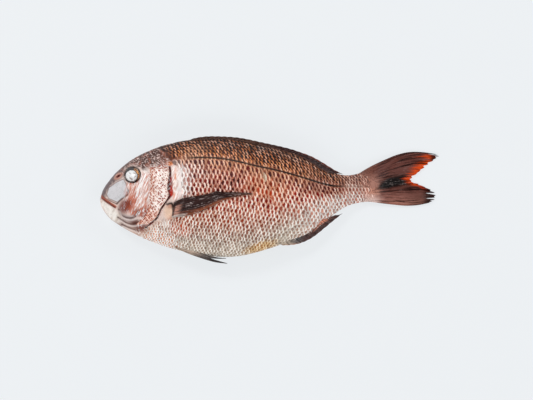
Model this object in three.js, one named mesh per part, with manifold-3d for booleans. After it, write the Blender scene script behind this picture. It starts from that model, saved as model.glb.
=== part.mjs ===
// A whole raw sea bream lying on its right side, in millimetres.
// +X runs from the snout to the tail, +Y from the belly to the back, +Z up from the surface it lies on.
// The origin is on that surface, under the middle of the fish's box.
import * as THREE from "three";
import Module from "manifold-3d";

const wasm = await Module();
wasm.setup();

// Driving dimensions
const GAP = 0.3; // clearance between touching pieces
const RINGS = 46; // sections along the body
const HALF_RING = 14; // steps from belly to back on each flank
const WIDEST = 0.54; // height of the widest level, as a share from belly to back
const EYE_AT = [-144.6, 26.8];
const EYE_RADIUS = 8.6;
const EYE_DEPTH = 5.6;
const EYE_PROUD = 2.0;
const MEDIAN_FIN_THICKNESS = 2.4;
const TAIL_FIN_THICKNESS = 1.6;
const PAIRED_FIN_THICKNESS = 1.4;
const GILL_COVER_THICKNESS = 1.2;
const PELVIC_SPREAD = 4.6; // from the mid plane to each pelvic fin
const POCKET_MARGIN = 0.5; // room round a piece that is pressed into the lower flank
const POCKET_DEPTH = 0.6; // how much deeper the pocket is than the piece, on both faces
const STRIP_SINK = 2; // how far a fin's strip starts inside the flesh before it is cut to the skin
const MID_LINE_Y = 10; // a level that lies inside the body from snout to tail
const TAIL_SINKS = { from: -12, over: 74, rootRise: 0.6, tipGap: 0.1 }; // from the stalk's end

// Sections from snout to tail: a point on the back, a point on the belly, the half thickness there,
// and how high the mid plane lies. The head is stiff and stays up; the tail sinks to the surface.
const SECTIONS = [
  { back: [-180, 0.8], belly: [-180, -0.8], half: 1.2, mid: 15 },
  { back: [-177, 10.5], belly: [-178.5, -7], half: 6.2, mid: 15.6 },
  { back: [-170, 21], belly: [-173.5, -15], half: 10.6, mid: 16.5 },
  { back: [-160, 32], belly: [-164.5, -23.5], half: 14.4, mid: 17.6 },
  { back: [-146, 43], belly: [-151, -32], half: 18, mid: 19 },
  { back: [-129, 52], belly: [-133, -41], half: 21, mid: 20.5 },
  { back: [-108, 59.6], belly: [-110, -49.5], half: 23.4, mid: 21.5 },
  { back: [-84, 64], belly: [-84, -56.4], half: 24.8, mid: 22 },
  { back: [-58, 66], belly: [-58, -60.4], half: 25, mid: 22 },
  { back: [-32, 64.4], belly: [-32, -60], half: 24, mid: 21.5 },
  { back: [-6, 59], belly: [-6, -54], half: 22, mid: 20 },
  { back: [20, 52.4], belly: [20, -45.5], half: 19, mid: 17.6 },
  { back: [42, 44.4], belly: [42, -37.6], half: 15.6, mid: 14.8 },
  { back: [58, 35.6], belly: [58, -25.8], half: 12.6, mid: 12.2 },
  { back: [72, 28.8], belly: [72, -14.3], half: 10, mid: 9.8 },
  { back: [85, 26.4], belly: [85, -6.3], half: 7.8, mid: 7.8 },
  { back: [98, 28.6], belly: [98, -2.8], half: 5.8, mid: 6.1 },
  { back: [110, 32.6], belly: [110, -1.8], half: 3.8, mid: 4.7 },
];
const TAIL_END = [118, 16, 4];

const points = (list) => list.map(([x, y]) => new THREE.Vector2(x, y));
const backLine = new THREE.SplineCurve(points(SECTIONS.map((s) => s.back)));
const bellyLine = new THREE.SplineCurve(points(SECTIONS.map((s) => s.belly)));
const girthLine = new THREE.SplineCurve(points(SECTIONS.map((s) => [s.half, s.mid])));

// Half thickness as a share of the widest, from the belly (0) to the back (1).
function fullness(level) {
  const above = (level - WIDEST) / (1 - WIDEST);
  const below = (WIDEST - level) / WIDEST;
  if (above >= 0) return (1 - Math.min(1, above) ** 1.9) ** 0.72;
  return (1 - Math.min(1, below) ** 2.2) ** 0.62;
}

// The section at t, from 0 at the snout to 1 at the tail.
function sectionAt(t) {
  const girth = girthLine.getPoint(t);
  return { back: backLine.getPoint(t), belly: bellyLine.getPoint(t), half: girth.x, mid: girth.y };
}

// The mid plane's height and the half thickness under a point of the flank, by halving the range of t.
function flankAt(x, y) {
  let low = 0;
  let high = 1;
  for (let i = 0; i < 30; i++) {
    const t = (low + high) / 2;
    const s = sectionAt(t);
    const level = (y - s.belly.y) / (s.back.y - s.belly.y);
    if (s.belly.x + level * (s.back.x - s.belly.x) < x) low = t;
    else high = t;
  }
  const s = sectionAt(low);
  const level = Math.min(1, Math.max(0, (y - s.belly.y) / (s.back.y - s.belly.y)));
  return { mid: s.mid, half: s.half * fullness(level) };
}

// A closed surface through rings of points, with a point at each end.
function loft(start, rings, end) {
  const n = rings[0].length;
  const vertices = [start, ...rings.flat(), end];
  const last = vertices.length - 1;
  const index = [];
  for (let j = 0; j < n; j++) {
    const k = (j + 1) % n;
    index.push(0, 1 + k, 1 + j);
    for (let i = 0; i + 1 < rings.length; i++) {
      const a = 1 + i * n;
      const b = a + n;
      index.push(a + j, a + k, b + k, a + j, b + k, b + j);
    }
    const a = last - n;
    index.push(last, a + j, a + k);
  }
  const geometry = new THREE.BufferGeometry();
  geometry.setAttribute("position", new THREE.Float32BufferAttribute(vertices.flat(), 3));
  return geometry.setIndex(index);
}

// A three.js geometry as a solid, turned inside out if its faces point in.
function solid(geometry) {
  const vertProperties = new Float32Array(geometry.attributes.position.array);
  const triVerts = new Uint32Array(geometry.index.array);
  const made = new wasm.Manifold(new wasm.Mesh({ numProp: 3, vertProperties, triVerts }));
  if (made.volume() > 0) return made;
  return solid(geometry.clone().setIndex([...geometry.index.array].reverse()));
}

// The trunk and head, grown by a margin. The right flank is flat where it lies on the surface.
function trunk(margin) {
  const rings = [];
  for (let i = 1; i <= RINGS; i++) {
    const s = sectionAt(i / RINGS);
    const ring = [];
    for (let j = 0; j < 2 * HALF_RING; j++) {
      const angle = (Math.PI * j) / HALF_RING;
      const level = (1 - Math.cos(angle)) / 2;
      const side = j <= HALF_RING ? 1 : -1;
      const half = (s.half + margin) * fullness(level);
      const floor = margin ? -margin : 0;
      ring.push([
        s.belly.x + level * (s.back.x - s.belly.x),
        s.belly.y - margin + level * (s.back.y - s.belly.y + 2 * margin),
        Math.max(floor, s.mid + side * half),
      ]);
    }
    rings.push(ring);
  }
  const snout = [SECTIONS[0].back[0] - margin, 0, SECTIONS[0].mid];
  const [x, y, z] = TAIL_END;
  return solid(loft(snout, rings, [x + margin, y, z]));
}

// A thin sheet that follows a flank between an upper and a lower edge, both running the same way.
// It fills from `lift` to `lift + thickness` off the skin. side is 1 on the left flank, -1 on the right,
// where it is kept above the surface the fish lies on.
function flankSheet(upper, lower, side, lift, thickness, steps, rows) {
  const top = new THREE.SplineCurve(points(upper));
  const bottom = new THREE.SplineCurve(points(lower));
  const rings = [];
  for (let i = 0; i <= steps; i++) {
    const a = top.getPoint(i / steps);
    const b = bottom.getPoint(i / steps);
    const inner = [];
    const outer = [];
    for (let j = 0; j <= rows; j++) {
      const p = a.clone().lerp(b, j / rows);
      const skin = flankAt(p.x, p.y);
      const near = skin.mid + side * (skin.half + lift);
      if (side > 0) {
        inner.push([p.x, p.y, near]);
        outer.push([p.x, p.y, near + thickness]);
      } else {
        const under = Math.max(lift < 0 ? lift : 0, near - thickness);
        outer.push([p.x, p.y, under]);
        inner.push([p.x, p.y, under + thickness]);
      }
    }
    rings.push([...outer, ...inner.reverse()]);
  }
  const middle = (ring) => {
    const sum = ring.reduce((s, p) => [s[0] + p[0], s[1] + p[1], s[2] + p[2]], [0, 0, 0]);
    return sum.map((v) => v / ring.length);
  };
  return solid(loft(middle(rings[0]), rings, middle(rings[steps])));
}

// The same geometry with vertices that share a place made one.
function mergedByPlace(geometry) {
  const source = geometry.attributes.position;
  const places = new Map();
  const vertices = [];
  const renamed = [];
  for (let i = 0; i < source.count; i++) {
    const p = [source.getX(i), source.getY(i), source.getZ(i)];
    const key = p.map((v) => v.toFixed(3)).join();
    if (!places.has(key)) {
      places.set(key, places.size);
      vertices.push(...p);
    }
    renamed.push(places.get(key));
  }
  const corners = geometry.index ? [...geometry.index.array].map((i) => renamed[i]) : renamed;
  const index = [];
  for (let i = 0; i < corners.length; i += 3) {
    const [a, b, c] = corners.slice(i, i + 3);
    if (a !== b && b !== c && c !== a) index.push(a, b, c);
  }
  const merged = new THREE.BufferGeometry();
  merged.setAttribute("position", new THREE.Float32BufferAttribute(vertices, 3));
  return merged.setIndex(index);
}

// A flat blade with the given outline, its middle at height(x).
function blade(outline, thickness, height) {
  const shape = new THREE.Shape(points(outline));
  const extruded = new THREE.ExtrudeGeometry(shape, { depth: thickness, bevelEnabled: false });
  const geometry = mergedByPlace(extruded);
  const position = geometry.attributes.position;
  for (let i = 0; i < position.count; i++)
    position.setZ(i, position.getZ(i) - thickness / 2 + height(position.getX(i)));
  return solid(geometry);
}

// Mid plane height along the fish, for the fins on the back and belly.
const midHeight = (x) => flankAt(x, MID_LINE_Y).mid;

// A strip along the back or belly: the skin line, moved into the flesh, and an outer edge.
// inward is -1 from the back and 1 from the belly.
function medianStrip(outer, line, inward) {
  const from = outer[0][0];
  const to = outer[outer.length - 1][0];
  const inner = line
    .getPoints(40)
    .filter((p) => p.x > from + STRIP_SINK && p.x < to - STRIP_SINK)
    .map((p) => [p.x, p.y + inward * STRIP_SINK]);
  return blade([...outer, ...inner.reverse()], MEDIAN_FIN_THICKNESS, midHeight);
}

// Fins and plates that lie against the body. Each edge runs from root to tip, or from front to back.
const DORSAL_EDGE = [
  [-93, 61], [-88, 65.4], [-74, 67.2], [-58, 68], [-32, 66.6], [-6, 61.4], [20, 55.6],
  [36, 50.4], [47, 46.2], [58, 40], [66, 35], [73, 31], [80, 27.4],
];
const ANAL_EDGE = [
  [8, -46], [12, -49.6], [24, -48.8], [35, -46.6], [48, -39.8], [61, -29.6], [68, -22],
  [79, -12.6],
];
const TAIL_EDGE = [
  [107, 31], [120, 39.8], [134.5, 46.3], [150.9, 51.2], [165.5, 50.8], [177, 48.8], [180, 45.9],
  [173.8, 40.5], [166.4, 34.8], [159, 27.9], [153.2, 20.4], [162.3, 16.7], [168.9, 12.6],
  [175.7, 7.3], [175.4, 2.8], [170.5, -1.3], [163.1, -3.8], [153.2, -5.8], [137.7, -4.6],
  [124.6, -3.2], [107, -0.6],
];
const PECTORAL_UPPER = [
  [-104, -4.6], [-90.5, 1.7], [-71, 4.6], [-53, 7.8], [-36, 7.8], [-21, 7.3], [-16.6, 6.6],
];
const PECTORAL_LOWER = [
  [-101, -18.6], [-88, -17.2], [-76, -14.2], [-61, -8], [-48, -1.2], [-30, 4.4], [-16.6, 5.6],
];
const PELVIC_LEFT = [
  [-100, -50], [-84, -52], [-66, -59], [-56, -61.6], [-45, -62.2], [-57, -64.8], [-74, -61.4],
  [-92, -55.6],
];
const PELVIC_RIGHT = [
  [-100, -50], [-84, -52], [-64, -60], [-54, -64], [-45, -68], [-62, -67.2], [-80, -60.8],
  [-92, -56],
];
const GILL_COVER_FRONT = [[-126, 35], [-122, 20], [-123, 5], [-128, -10], [-139, -24]];
const GILL_COVER_REAR = [[-108, 38], [-103.5, 24], [-103, 7], [-112, -8], [-129, -31]];

const FINS = { color: 0x4a2a26, roughness: 0.5, metalness: 0 };
const SKIN = { color: 0xb98a80, roughness: 0.35, metalness: 0 };
const COVER = { color: 0xcf9f96, roughness: 0.3, metalness: 0 };
const EYE = { color: 0xd5d5d2, roughness: 0.1, metalness: 0 };

// A named mesh whose own origin is at `at`, so that each piece is placed where it joins the fish.
function piece(name, shape, at, look) {
  const made = shape.getMesh();
  const geometry = new THREE.BufferGeometry();
  geometry.setAttribute("position", new THREE.BufferAttribute(made.vertProperties, 3));
  geometry.setIndex(new THREE.BufferAttribute(made.triVerts, 1));
  geometry.translate(-at[0], -at[1], -at[2]);
  geometry.computeVertexNormals();
  const mesh = new THREE.Mesh(geometry, new THREE.MeshStandardMaterial(look));
  mesh.name = name;
  mesh.position.set(...at);
  return mesh;
}

// A flattened eyeball centred at a height.
function eyeball(z, margin) {
  const geometry = new THREE.SphereGeometry(1, 24, 12);
  geometry.deleteAttribute("normal");
  geometry.deleteAttribute("uv");
  geometry.scale(EYE_RADIUS + margin, EYE_RADIUS + margin, EYE_DEPTH + margin);
  geometry.translate(EYE_AT[0], EYE_AT[1], z);
  return solid(mergedByPlace(geometry));
}

// A pair of edges moved apart by the pocket's margin and let out as much at both ends, for the pocket
// that a piece on the lower flank is pressed into. The edges lie apart along the axis `across` (0 for
// x, 1 for y), and `away` is the way along it from the second edge to the first.
function widened(first, second, across, away) {
  const grow = (edge, way) =>
    edge.map((place, i) => {
      const moved = [...place];
      moved[across] += way * POCKET_MARGIN;
      if (i === 0) moved[1 - across] -= away * POCKET_MARGIN;
      if (i === edge.length - 1) moved[1 - across] += away * POCKET_MARGIN;
      return moved;
    });
  return [grow(first, away), grow(second, -away)];
}

const fish = new THREE.Group();

// Eyes, in sockets on each side of the head
const socket = flankAt(...EYE_AT);
const eyeHeights = {
  left_eye: socket.mid + socket.half + EYE_PROUD - EYE_DEPTH,
  right_eye: socket.mid - socket.half - EYE_PROUD + EYE_DEPTH,
};

// Gill covers and paired fins, on the left flank above and pressed into the right flank below
const coverSheet = (front, rear, side, lift, thickness) =>
  flankSheet(front, rear, side, lift, thickness, 12, 6);
const finSheet = (upper, lower, side, lift, thickness) =>
  flankSheet(upper, lower, side, lift, thickness, 24, 4);
const coverPocket = widened(GILL_COVER_FRONT, GILL_COVER_REAR, 0, -1);
const finPocket = widened(PECTORAL_UPPER, PECTORAL_LOWER, 1, 1);
const pockets = [
  coverSheet(...coverPocket, -1, -POCKET_DEPTH, GILL_COVER_THICKNESS + 2 * POCKET_DEPTH),
  finSheet(...finPocket, -1, -POCKET_DEPTH, PAIRED_FIN_THICKNESS + 2 * POCKET_DEPTH),
  ...Object.values(eyeHeights).map((z) => eyeball(z, GAP)),
];
const body = pockets.reduce((flesh, pocket) => flesh.subtract(pocket), trunk(0));
const clear = trunk(GAP);

fish.add(piece("body", body, [0, 0, 0], SKIN));
for (const [name, z] of Object.entries(eyeHeights))
  fish.add(piece(name, eyeball(z, 0), [...EYE_AT, z], EYE));

for (const [name, side] of [["left", 1], ["right", -1]]) {
  const lift = side > 0 ? GAP : 0;
  const cover = coverSheet(GILL_COVER_FRONT, GILL_COVER_REAR, side, lift, GILL_COVER_THICKNESS);
  const fin = finSheet(PECTORAL_UPPER, PECTORAL_LOWER, side, lift, PAIRED_FIN_THICKNESS);
  const root = flankAt(...PECTORAL_UPPER[0]);
  const hinge = flankAt(...GILL_COVER_FRONT[1]);
  const onSkin = (s) => s.mid + side * s.half;
  fish.add(piece(name + "_gill_cover", cover, [...GILL_COVER_FRONT[1], onSkin(hinge)], COVER));
  fish.add(piece(name + "_pectoral_fin", fin, [...PECTORAL_UPPER[0], onSkin(root)], FINS));
}

// Fins in the mid plane, each cut to sit against the skin
const tailHeight = (x) => {
  const [rootX, , rootZ] = TAIL_END;
  const along = THREE.MathUtils.clamp((x - rootX - TAIL_SINKS.from) / TAIL_SINKS.over, 0, 1);
  const tipZ = TAIL_FIN_THICKNESS / 2 + TAIL_SINKS.tipGap;
  return THREE.MathUtils.lerp(rootZ + TAIL_SINKS.rootRise, tipZ, along);
};
const dorsal = medianStrip(DORSAL_EDGE, backLine, -1).subtract(clear);
const anal = medianStrip(ANAL_EDGE, bellyLine, 1).subtract(clear);
const tail = blade(TAIL_EDGE, TAIL_FIN_THICKNESS, tailHeight).subtract(clear);
fish.add(piece("dorsal_fin", dorsal, [-90, 62, midHeight(-90)], FINS));
fish.add(piece("anal_fin", anal, [10, -48, midHeight(10)], FINS));
fish.add(piece("tail_fin", tail, TAIL_END, FINS));

// Pelvic fins, folded back side by side under the belly
for (const [name, outline, side] of [
  ["left_pelvic_fin", PELVIC_LEFT, 1],
  ["right_pelvic_fin", PELVIC_RIGHT, -1],
]) {
  const z = midHeight(-80) + side * PELVIC_SPREAD;
  const fin = blade(outline, PAIRED_FIN_THICKNESS, () => z).subtract(clear);
  fish.add(piece(name, fin, [-96, -54, z], FINS));
}

// The origin goes under the middle of the fish's box.
const box = new THREE.Box3().setFromObject(fish);
const centre = box.getCenter(new THREE.Vector3());
fish.position.set(-centre.x, -centre.y, -box.min.z);

export default fish;
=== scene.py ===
import math

import bpy
import numpy as np
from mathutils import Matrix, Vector


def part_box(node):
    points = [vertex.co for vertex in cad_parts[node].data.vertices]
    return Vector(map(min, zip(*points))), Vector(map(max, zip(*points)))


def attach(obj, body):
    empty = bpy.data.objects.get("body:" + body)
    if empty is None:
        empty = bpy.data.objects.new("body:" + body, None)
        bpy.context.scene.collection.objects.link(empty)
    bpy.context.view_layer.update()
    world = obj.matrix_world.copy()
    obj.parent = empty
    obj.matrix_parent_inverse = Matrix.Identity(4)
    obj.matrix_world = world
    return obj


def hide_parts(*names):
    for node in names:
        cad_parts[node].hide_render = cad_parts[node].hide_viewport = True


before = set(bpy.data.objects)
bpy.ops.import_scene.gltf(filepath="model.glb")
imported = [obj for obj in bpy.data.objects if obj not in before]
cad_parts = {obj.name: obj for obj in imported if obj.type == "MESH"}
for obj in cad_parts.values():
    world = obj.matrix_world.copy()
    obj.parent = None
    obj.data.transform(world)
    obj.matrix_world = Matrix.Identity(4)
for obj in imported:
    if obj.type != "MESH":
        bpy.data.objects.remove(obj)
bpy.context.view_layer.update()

# ----------------------------------------
# Skin: one wet hide over the head, the trunk and the tail stalk of a sea bream.
# It is drawn over the animal's own cross sections, and the right flank is pressed flat where it
# rests. On the head it is bare, with the lips, nostril, cheek folds and gill slit worked into it.
skin_low, skin_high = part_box("body")
BODY_LENGTH = 298.0
MM = (skin_high.x - skin_low.x) / BODY_LENGTH

# Each row: back x and y, belly x and y, half thickness, height of the middle plane, in mm.
SECTIONS = (
    (-180, 0.8, -180, -0.8, 1.2, 15),
    (-177, 10.5, -178.5, -7, 6.2, 15.6),
    (-170, 21, -173.5, -15, 10.6, 16.5),
    (-160, 32, -164.5, -23.5, 14.4, 17.6),
    (-146, 43, -151, -32, 18, 19),
    (-129, 52, -133, -41, 21, 20.5),
    (-108, 59.6, -110, -49.5, 23.4, 21.5),
    (-84, 64, -84, -56.4, 24.8, 22),
    (-58, 66, -58, -60.4, 25, 22),
    (-32, 64.4, -32, -60, 24, 21.5),
    (-6, 59, -6, -54, 22, 20),
    (20, 52.4, 20, -45.5, 19, 17.6),
    (42, 44.4, 42, -37.6, 15.6, 14.8),
    (58, 35.6, 58, -25.8, 12.6, 12.2),
    (72, 28.8, 72, -14.3, 10, 9.8),
    (85, 26.4, 85, -6.3, 7.8, 7.8),
    (98, 28.6, 98, -2.8, 5.8, 6.1),
    (110, 32.6, 110, -1.8, 3.8, 4.7),
)
WIDEST_LEVEL = 0.54
TAIL_STALK_END = (118, 16, 4)
REST_GAP = 0.6
PRESS_SOFTNESS = 3.0
LEFT, RIGHT = 1, -1


def step_up(low, high, value):
    """0 below low, 1 above high, smooth between."""
    share = np.clip((value - low) / (high - low), 0, 1)
    return share * share * (3 - 2 * share)


def mix(first, second, share):
    return first + (second - first) * np.asarray(share)[..., None]


def spline(points, share):
    """Points on a smooth curve through the given ones, share running from 0 to 1."""
    points = np.asarray(points, float)
    last = len(points) - 1
    place = np.clip(share, 0, 1) * last
    first = np.minimum(place.astype(int), last - 1)
    w = (place - first)[..., None]
    before, start, end, after = (points[np.clip(first + k, 0, last)] for k in (-1, 0, 1, 2))
    leave = (end - before) / 2
    arrive = (after - start) / 2
    cubic = 2 * start - 2 * end + leave + arrive
    square = 3 * end - 3 * start - 2 * leave - arrive
    return cubic * w**3 + square * w**2 + leave * w + start


def height_along(points, x):
    """The y of a smooth line at each x."""
    fine = spline(points, np.linspace(0, 1, 240))
    order = np.argsort(fine[:, 0])
    return np.interp(x, fine[order, 0], fine[order, 1])


def section(share):
    """Back x and y, belly x and y, half thickness and middle height at a share of the length."""
    return np.moveaxis(spline(SECTIONS, share), -1, 0)


def fullness(level):
    """How much of the half thickness there is at a level, 0 at the belly and 1 at the back."""
    above = np.clip((level - WIDEST_LEVEL) / (1 - WIDEST_LEVEL), 0, 1)
    below = np.clip((WIDEST_LEVEL - level) / WIDEST_LEVEL, 0, 1)
    upper = (1 - above**1.9) ** 0.72
    lower = (1 - below**2.2) ** 0.62
    return np.where(level > WIDEST_LEVEL, upper, lower)


def pressed(height):
    """A height that meets the table softly instead of passing through it."""
    lift = height - REST_GAP
    return REST_GAP + (lift + np.sqrt(lift**2 + PRESS_SOFTNESS**2)) / 2


def flank_surface(mid, half, full, side):
    """Height of the left or right flank over the table."""
    if side == LEFT:
        return mid + half * full
    spare = (pressed(mid) - mid) * (1 - full)
    return pressed(mid - half * full) - spare


def flank_height(x, y, side):
    """Height of a flank over each point of the plan."""
    low = np.zeros_like(x, float)
    high = np.ones_like(x, float)
    for _ in range(34):
        share = (low + high) / 2
        back_x, back_y, belly_x, belly_y, half, mid = section(share)
        level = np.clip((y - belly_y) / (back_y - belly_y), 0, 1)
        reached = belly_x + (back_x - belly_x) * level
        low = np.where(reached < x, share, low)
        high = np.where(reached < x, high, share)
    return flank_surface(mid, half, fullness(level), side)


def line_distance(x, y, points, pieces=36):
    """Distance of each point to a smooth line, and how far along the line it is, 0 to 1."""
    fine = spline(points, np.linspace(0, 1, pieces + 1))
    nearest = np.full(np.shape(x), 1e9)
    along = np.zeros(np.shape(x))
    for k in range(pieces):
        start, run = fine[k], fine[k + 1] - fine[k]
        share = ((x - start[0]) * run[0] + (y - start[1]) * run[1]) / (run @ run)
        share = np.clip(share, 0, 1)
        distance = np.hypot(x - start[0] - share * run[0], y - start[1] - share * run[1])
        along = np.where(distance < nearest, (k + share) / pieces, along)
        nearest = np.minimum(nearest, distance)
    return nearest, along


def groove(x, y, points, width):
    """1 on a smooth line, falling to 0 at its width."""
    distance, _ = line_distance(x, y, points)
    return np.exp(-((distance / width) ** 2))


def patch(x, y, outline, softness):
    """1 well inside a closed outline and 0 outside it, with a soft edge."""
    outline = np.asarray(outline, float)
    nearest = np.full(np.shape(x), 1e9)
    inside = np.zeros(np.shape(x), bool)
    for (x0, y0), (x1, y1) in zip(outline, np.roll(outline, -1, axis=0)):
        run_x, run_y = x1 - x0, y1 - y0
        share = np.clip(((x - x0) * run_x + (y - y0) * run_y) / (run_x**2 + run_y**2), 0, 1)
        nearest = np.minimum(nearest, np.hypot(x - x0 - share * run_x, y - y0 - share * run_y))
        crosses = (y0 > y) != (y1 > y)
        meets = x0 + (y - y0) * run_x / (run_y if run_y else 1e-9)
        inside ^= crosses & (x < meets)
    depth = np.where(inside, nearest, -nearest)
    return step_up(-softness, softness, depth)


def oval(x, y, centre, radii, turn=0.0):
    """1 at the centre of an oval, fading to 0 at its edge."""
    along = (x - centre[0]) * math.cos(turn) + (y - centre[1]) * math.sin(turn)
    across = (y - centre[1]) * math.cos(turn) - (x - centre[0]) * math.sin(turn)
    return 1 - step_up(0.35, 1, np.hypot(along / radii[0], across / radii[1]))


WET_SHINE = 0.014


def paint(red, green, blue):
    """A colour as seen on the wet fish, 0 to 255, less what its shine adds."""
    seen = np.array((red, green, blue)) / 255
    light = np.where(seen > 0.04045, ((seen + 0.055) / 1.055) ** 2.4, seen / 12.92)
    return np.maximum(light - WET_SHINE, 0.003)


def even_tint(places, *colour):
    """One colour at all of the places."""
    return np.broadcast_to(paint(*colour), (*np.shape(places), 3)).copy()


def painted(tint, *layers):
    """A tint with colours laid over it in turn, each as far as its share says."""
    for colour, share in layers:
        tint = mix(tint, paint(*colour), share)
    return tint


def graded(value, stops, colours):
    """Colours that pass into one another between the stops."""
    tones = np.array([paint(*colour) for colour in colours])
    return np.stack([np.interp(value, stops, tones[:, k]) for k in range(3)], axis=-1)


def ripple(x, y, size, seed):
    """A smooth uneven pattern between -1 and 1 with patches of about that size."""
    dice = np.random.default_rng(seed)
    total = 0
    for _ in range(5):
        turn, phase, stretch = dice.uniform(0, 6.3), dice.uniform(0, 6.3), dice.uniform(0.7, 1.6)
        reach = (x * math.cos(turn) + y * math.sin(turn)) * stretch / size
        total = total + np.sin(reach * 3.1 + phase + 1.3 * np.sin(reach * 1.7 - phase))
    return total / 3.2


EYE_CENTRE = (-144.6, 26.8)
SOCKET_RING = 8.7
LATERAL_LINE = (
    (-112, 41), (-100, 43.8), (-80, 45), (-55, 44.6), (-36, 41.8), (-14, 36.6),
    (6, 32.4), (21, 28.6), (42, 22.5), (53, 19), (63, 16.4), (73, 14.8), (90, 14.7), (116, 14),
)
MOUTH = ((-180.4, 4.6), (-176.5, 0.8), (-171.9, -2.6), (-163.4, -8.2))
LIP_TOP = ((-179.8, 7.4), (-175.6, 3.2), (-170.2, 0), (-161.7, -4.2))
CHEEK_PLATE = (
    (-172.4, 5.4), (-170.2, 13.1), (-162.5, 18.6), (-154.2, 22.4), (-151.5, 17.4),
    (-148.9, 8.8), (-152.6, 3.4), (-156.5, 1.1), (-160.8, -2.4), (-170.2, 1.6),
)
PLATE_CREASE = ((-148.4, 10.5), (-150.2, 5.2), (-156.3, 0.8), (-161.4, -4.2))
CHEEK = (
    (-150, 18), (-134, 29), (-127, 28), (-125.6, 12), (-127.6, -6), (-133, -17),
    (-144, -17), (-157, -9), (-154, 1),
)
CHEEK_EDGE = ((-126, 33), (-125, 18), (-127, 4.5), (-127.5, -8.3), (-131, -18), (-143, -25.4))
JAW_FOLDS = (
    ((-159.4, -10), (-156, -16.6), (-148, -19.4), (-141.5, -17.4), (-138.6, -12.4)),
    ((-160.5, -18.5), (-151, -24.6), (-142, -25.8), (-131, -22.5)),
    ((-156.5, -26.2), (-148, -30), (-138, -33.4)),
)
GILL_SLIT = (
    (-104.9, 35), (-104.4, 30), (-104.3, 24), (-104.6, 17.5), (-104.3, 11.5), (-103.6, 6.5),
    (-106, 2), (-110.8, -4), (-114.4, -9.6), (-118.4, -18.2), (-124.1, -24), (-131, -30.5),
)
SHOULDER = ((-103, 36), (-91, 36), (-84, 27), (-87, 8), (-93, 0), (-100, -2), (-104, 5), (-102, 24))
NAPE = (
    (-182, 2), (-180, 16), (-166, 34), (-150, 48), (-120, 64), (-92, 72), (-90, 46), (-97, 40.5),
    (-108, 41), (-118, 38.5), (-126, 34.6), (-135, 33), (-140, 37), (-148, 37), (-154, 30),
    (-157, 26), (-164, 20.5), (-169.5, 14.6), (-172.6, 8), (-175, 2.6),
)
FRECKLED = (
    (-126, 36), (-106, 40), (-103, 12), (-112, -8), (-124, -32), (-130, -50), (-146, -40),
    (-140, -28), (-133, -14), (-128, -4),
)
SEAM = ((-97.6, 37), (-98.6, 28), (-98.4, 18), (-99.6, 8), (-100.4, 0))
FIN_PLEAT = ((-107.5, -4.6), (-102.5, -3.8), (-100.4, -9), (-99.4, -14), (-98.4, -18.4))
NOSTRIL = (-159.9, 25.6)
NOSTRIL_TURN = 0.6
FIN_ROOT = (-104.5, -13.5)
STREAK_TURN = math.radians(66)
LOWER_JAW = ((-182, 2), (-177, -0.6), (-171.6, -4.2), (-164, -9.5), (-157, -17), (-158, -25), (-169, -22))


def slit_width(along):
    """Half width of the gill slit, widest just above its middle."""
    return 0.95 + 1.9 * np.exp(-(((along - 0.34) / 0.15) ** 2)) + 0.3 * np.sin(along * 31)


def head_relief(x, y):
    """How far the bare head stands proud of its smooth sections, in mm."""
    from_eye = np.hypot(x - EYE_CENTRE[0], y - EYE_CENTRE[1])
    relief = 0.75 * np.exp(-(((from_eye - 10.2) / 1.3) ** 2))
    relief = relief - 5.2 * (1 - step_up(7.6, 9.2, from_eye))
    relief = relief + 0.7 * patch(x, y, CHEEK_PLATE, 1.4)
    relief = relief - 1.0 * groove(x, y, PLATE_CREASE, 0.9)
    relief = relief + 0.5 * groove(x, y, ((-179, 5.4), (-174, 1.4), (-163, -5.6)), 1.4)
    relief = relief - 1.7 * groove(x, y, MOUTH, 0.95)
    relief = relief - 0.8 * groove(x, y, LIP_TOP, 0.8)
    relief = relief + 0.5 * patch(x, y, LOWER_JAW, 2)
    relief = relief + (0.9 + 0.25 * ripple(x * 1.6, y * 0.7, 4, 3)) * patch(x, y, CHEEK, 2.4)
    relief = relief - 0.9 * groove(x, y, CHEEK_EDGE, 1.3)
    for fold in JAW_FOLDS:
        relief = relief - 1.3 * groove(x, y, fold, 1.1)
    pit = oval(x, y, NOSTRIL, (2.6, 1.3), NOSTRIL_TURN)
    relief = relief + 0.5 * oval(x, y, NOSTRIL, (6.4, 3.4), NOSTRIL_TURN) - 2.2 * pit
    slit, along = line_distance(x, y, GILL_SLIT)
    relief = relief - 1.9 * np.exp(-((slit / slit_width(along)) ** 4))
    relief = relief + 0.9 * patch(x, y, SHOULDER, 3)
    relief = relief + 2.4 * oval(x, y, FIN_ROOT, (8, 12), 0.25)
    relief = relief - 1.3 * groove(x, y, FIN_PLEAT, 0.9)
    return relief + 0.10 * ripple(x, y, 5, 11)


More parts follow.
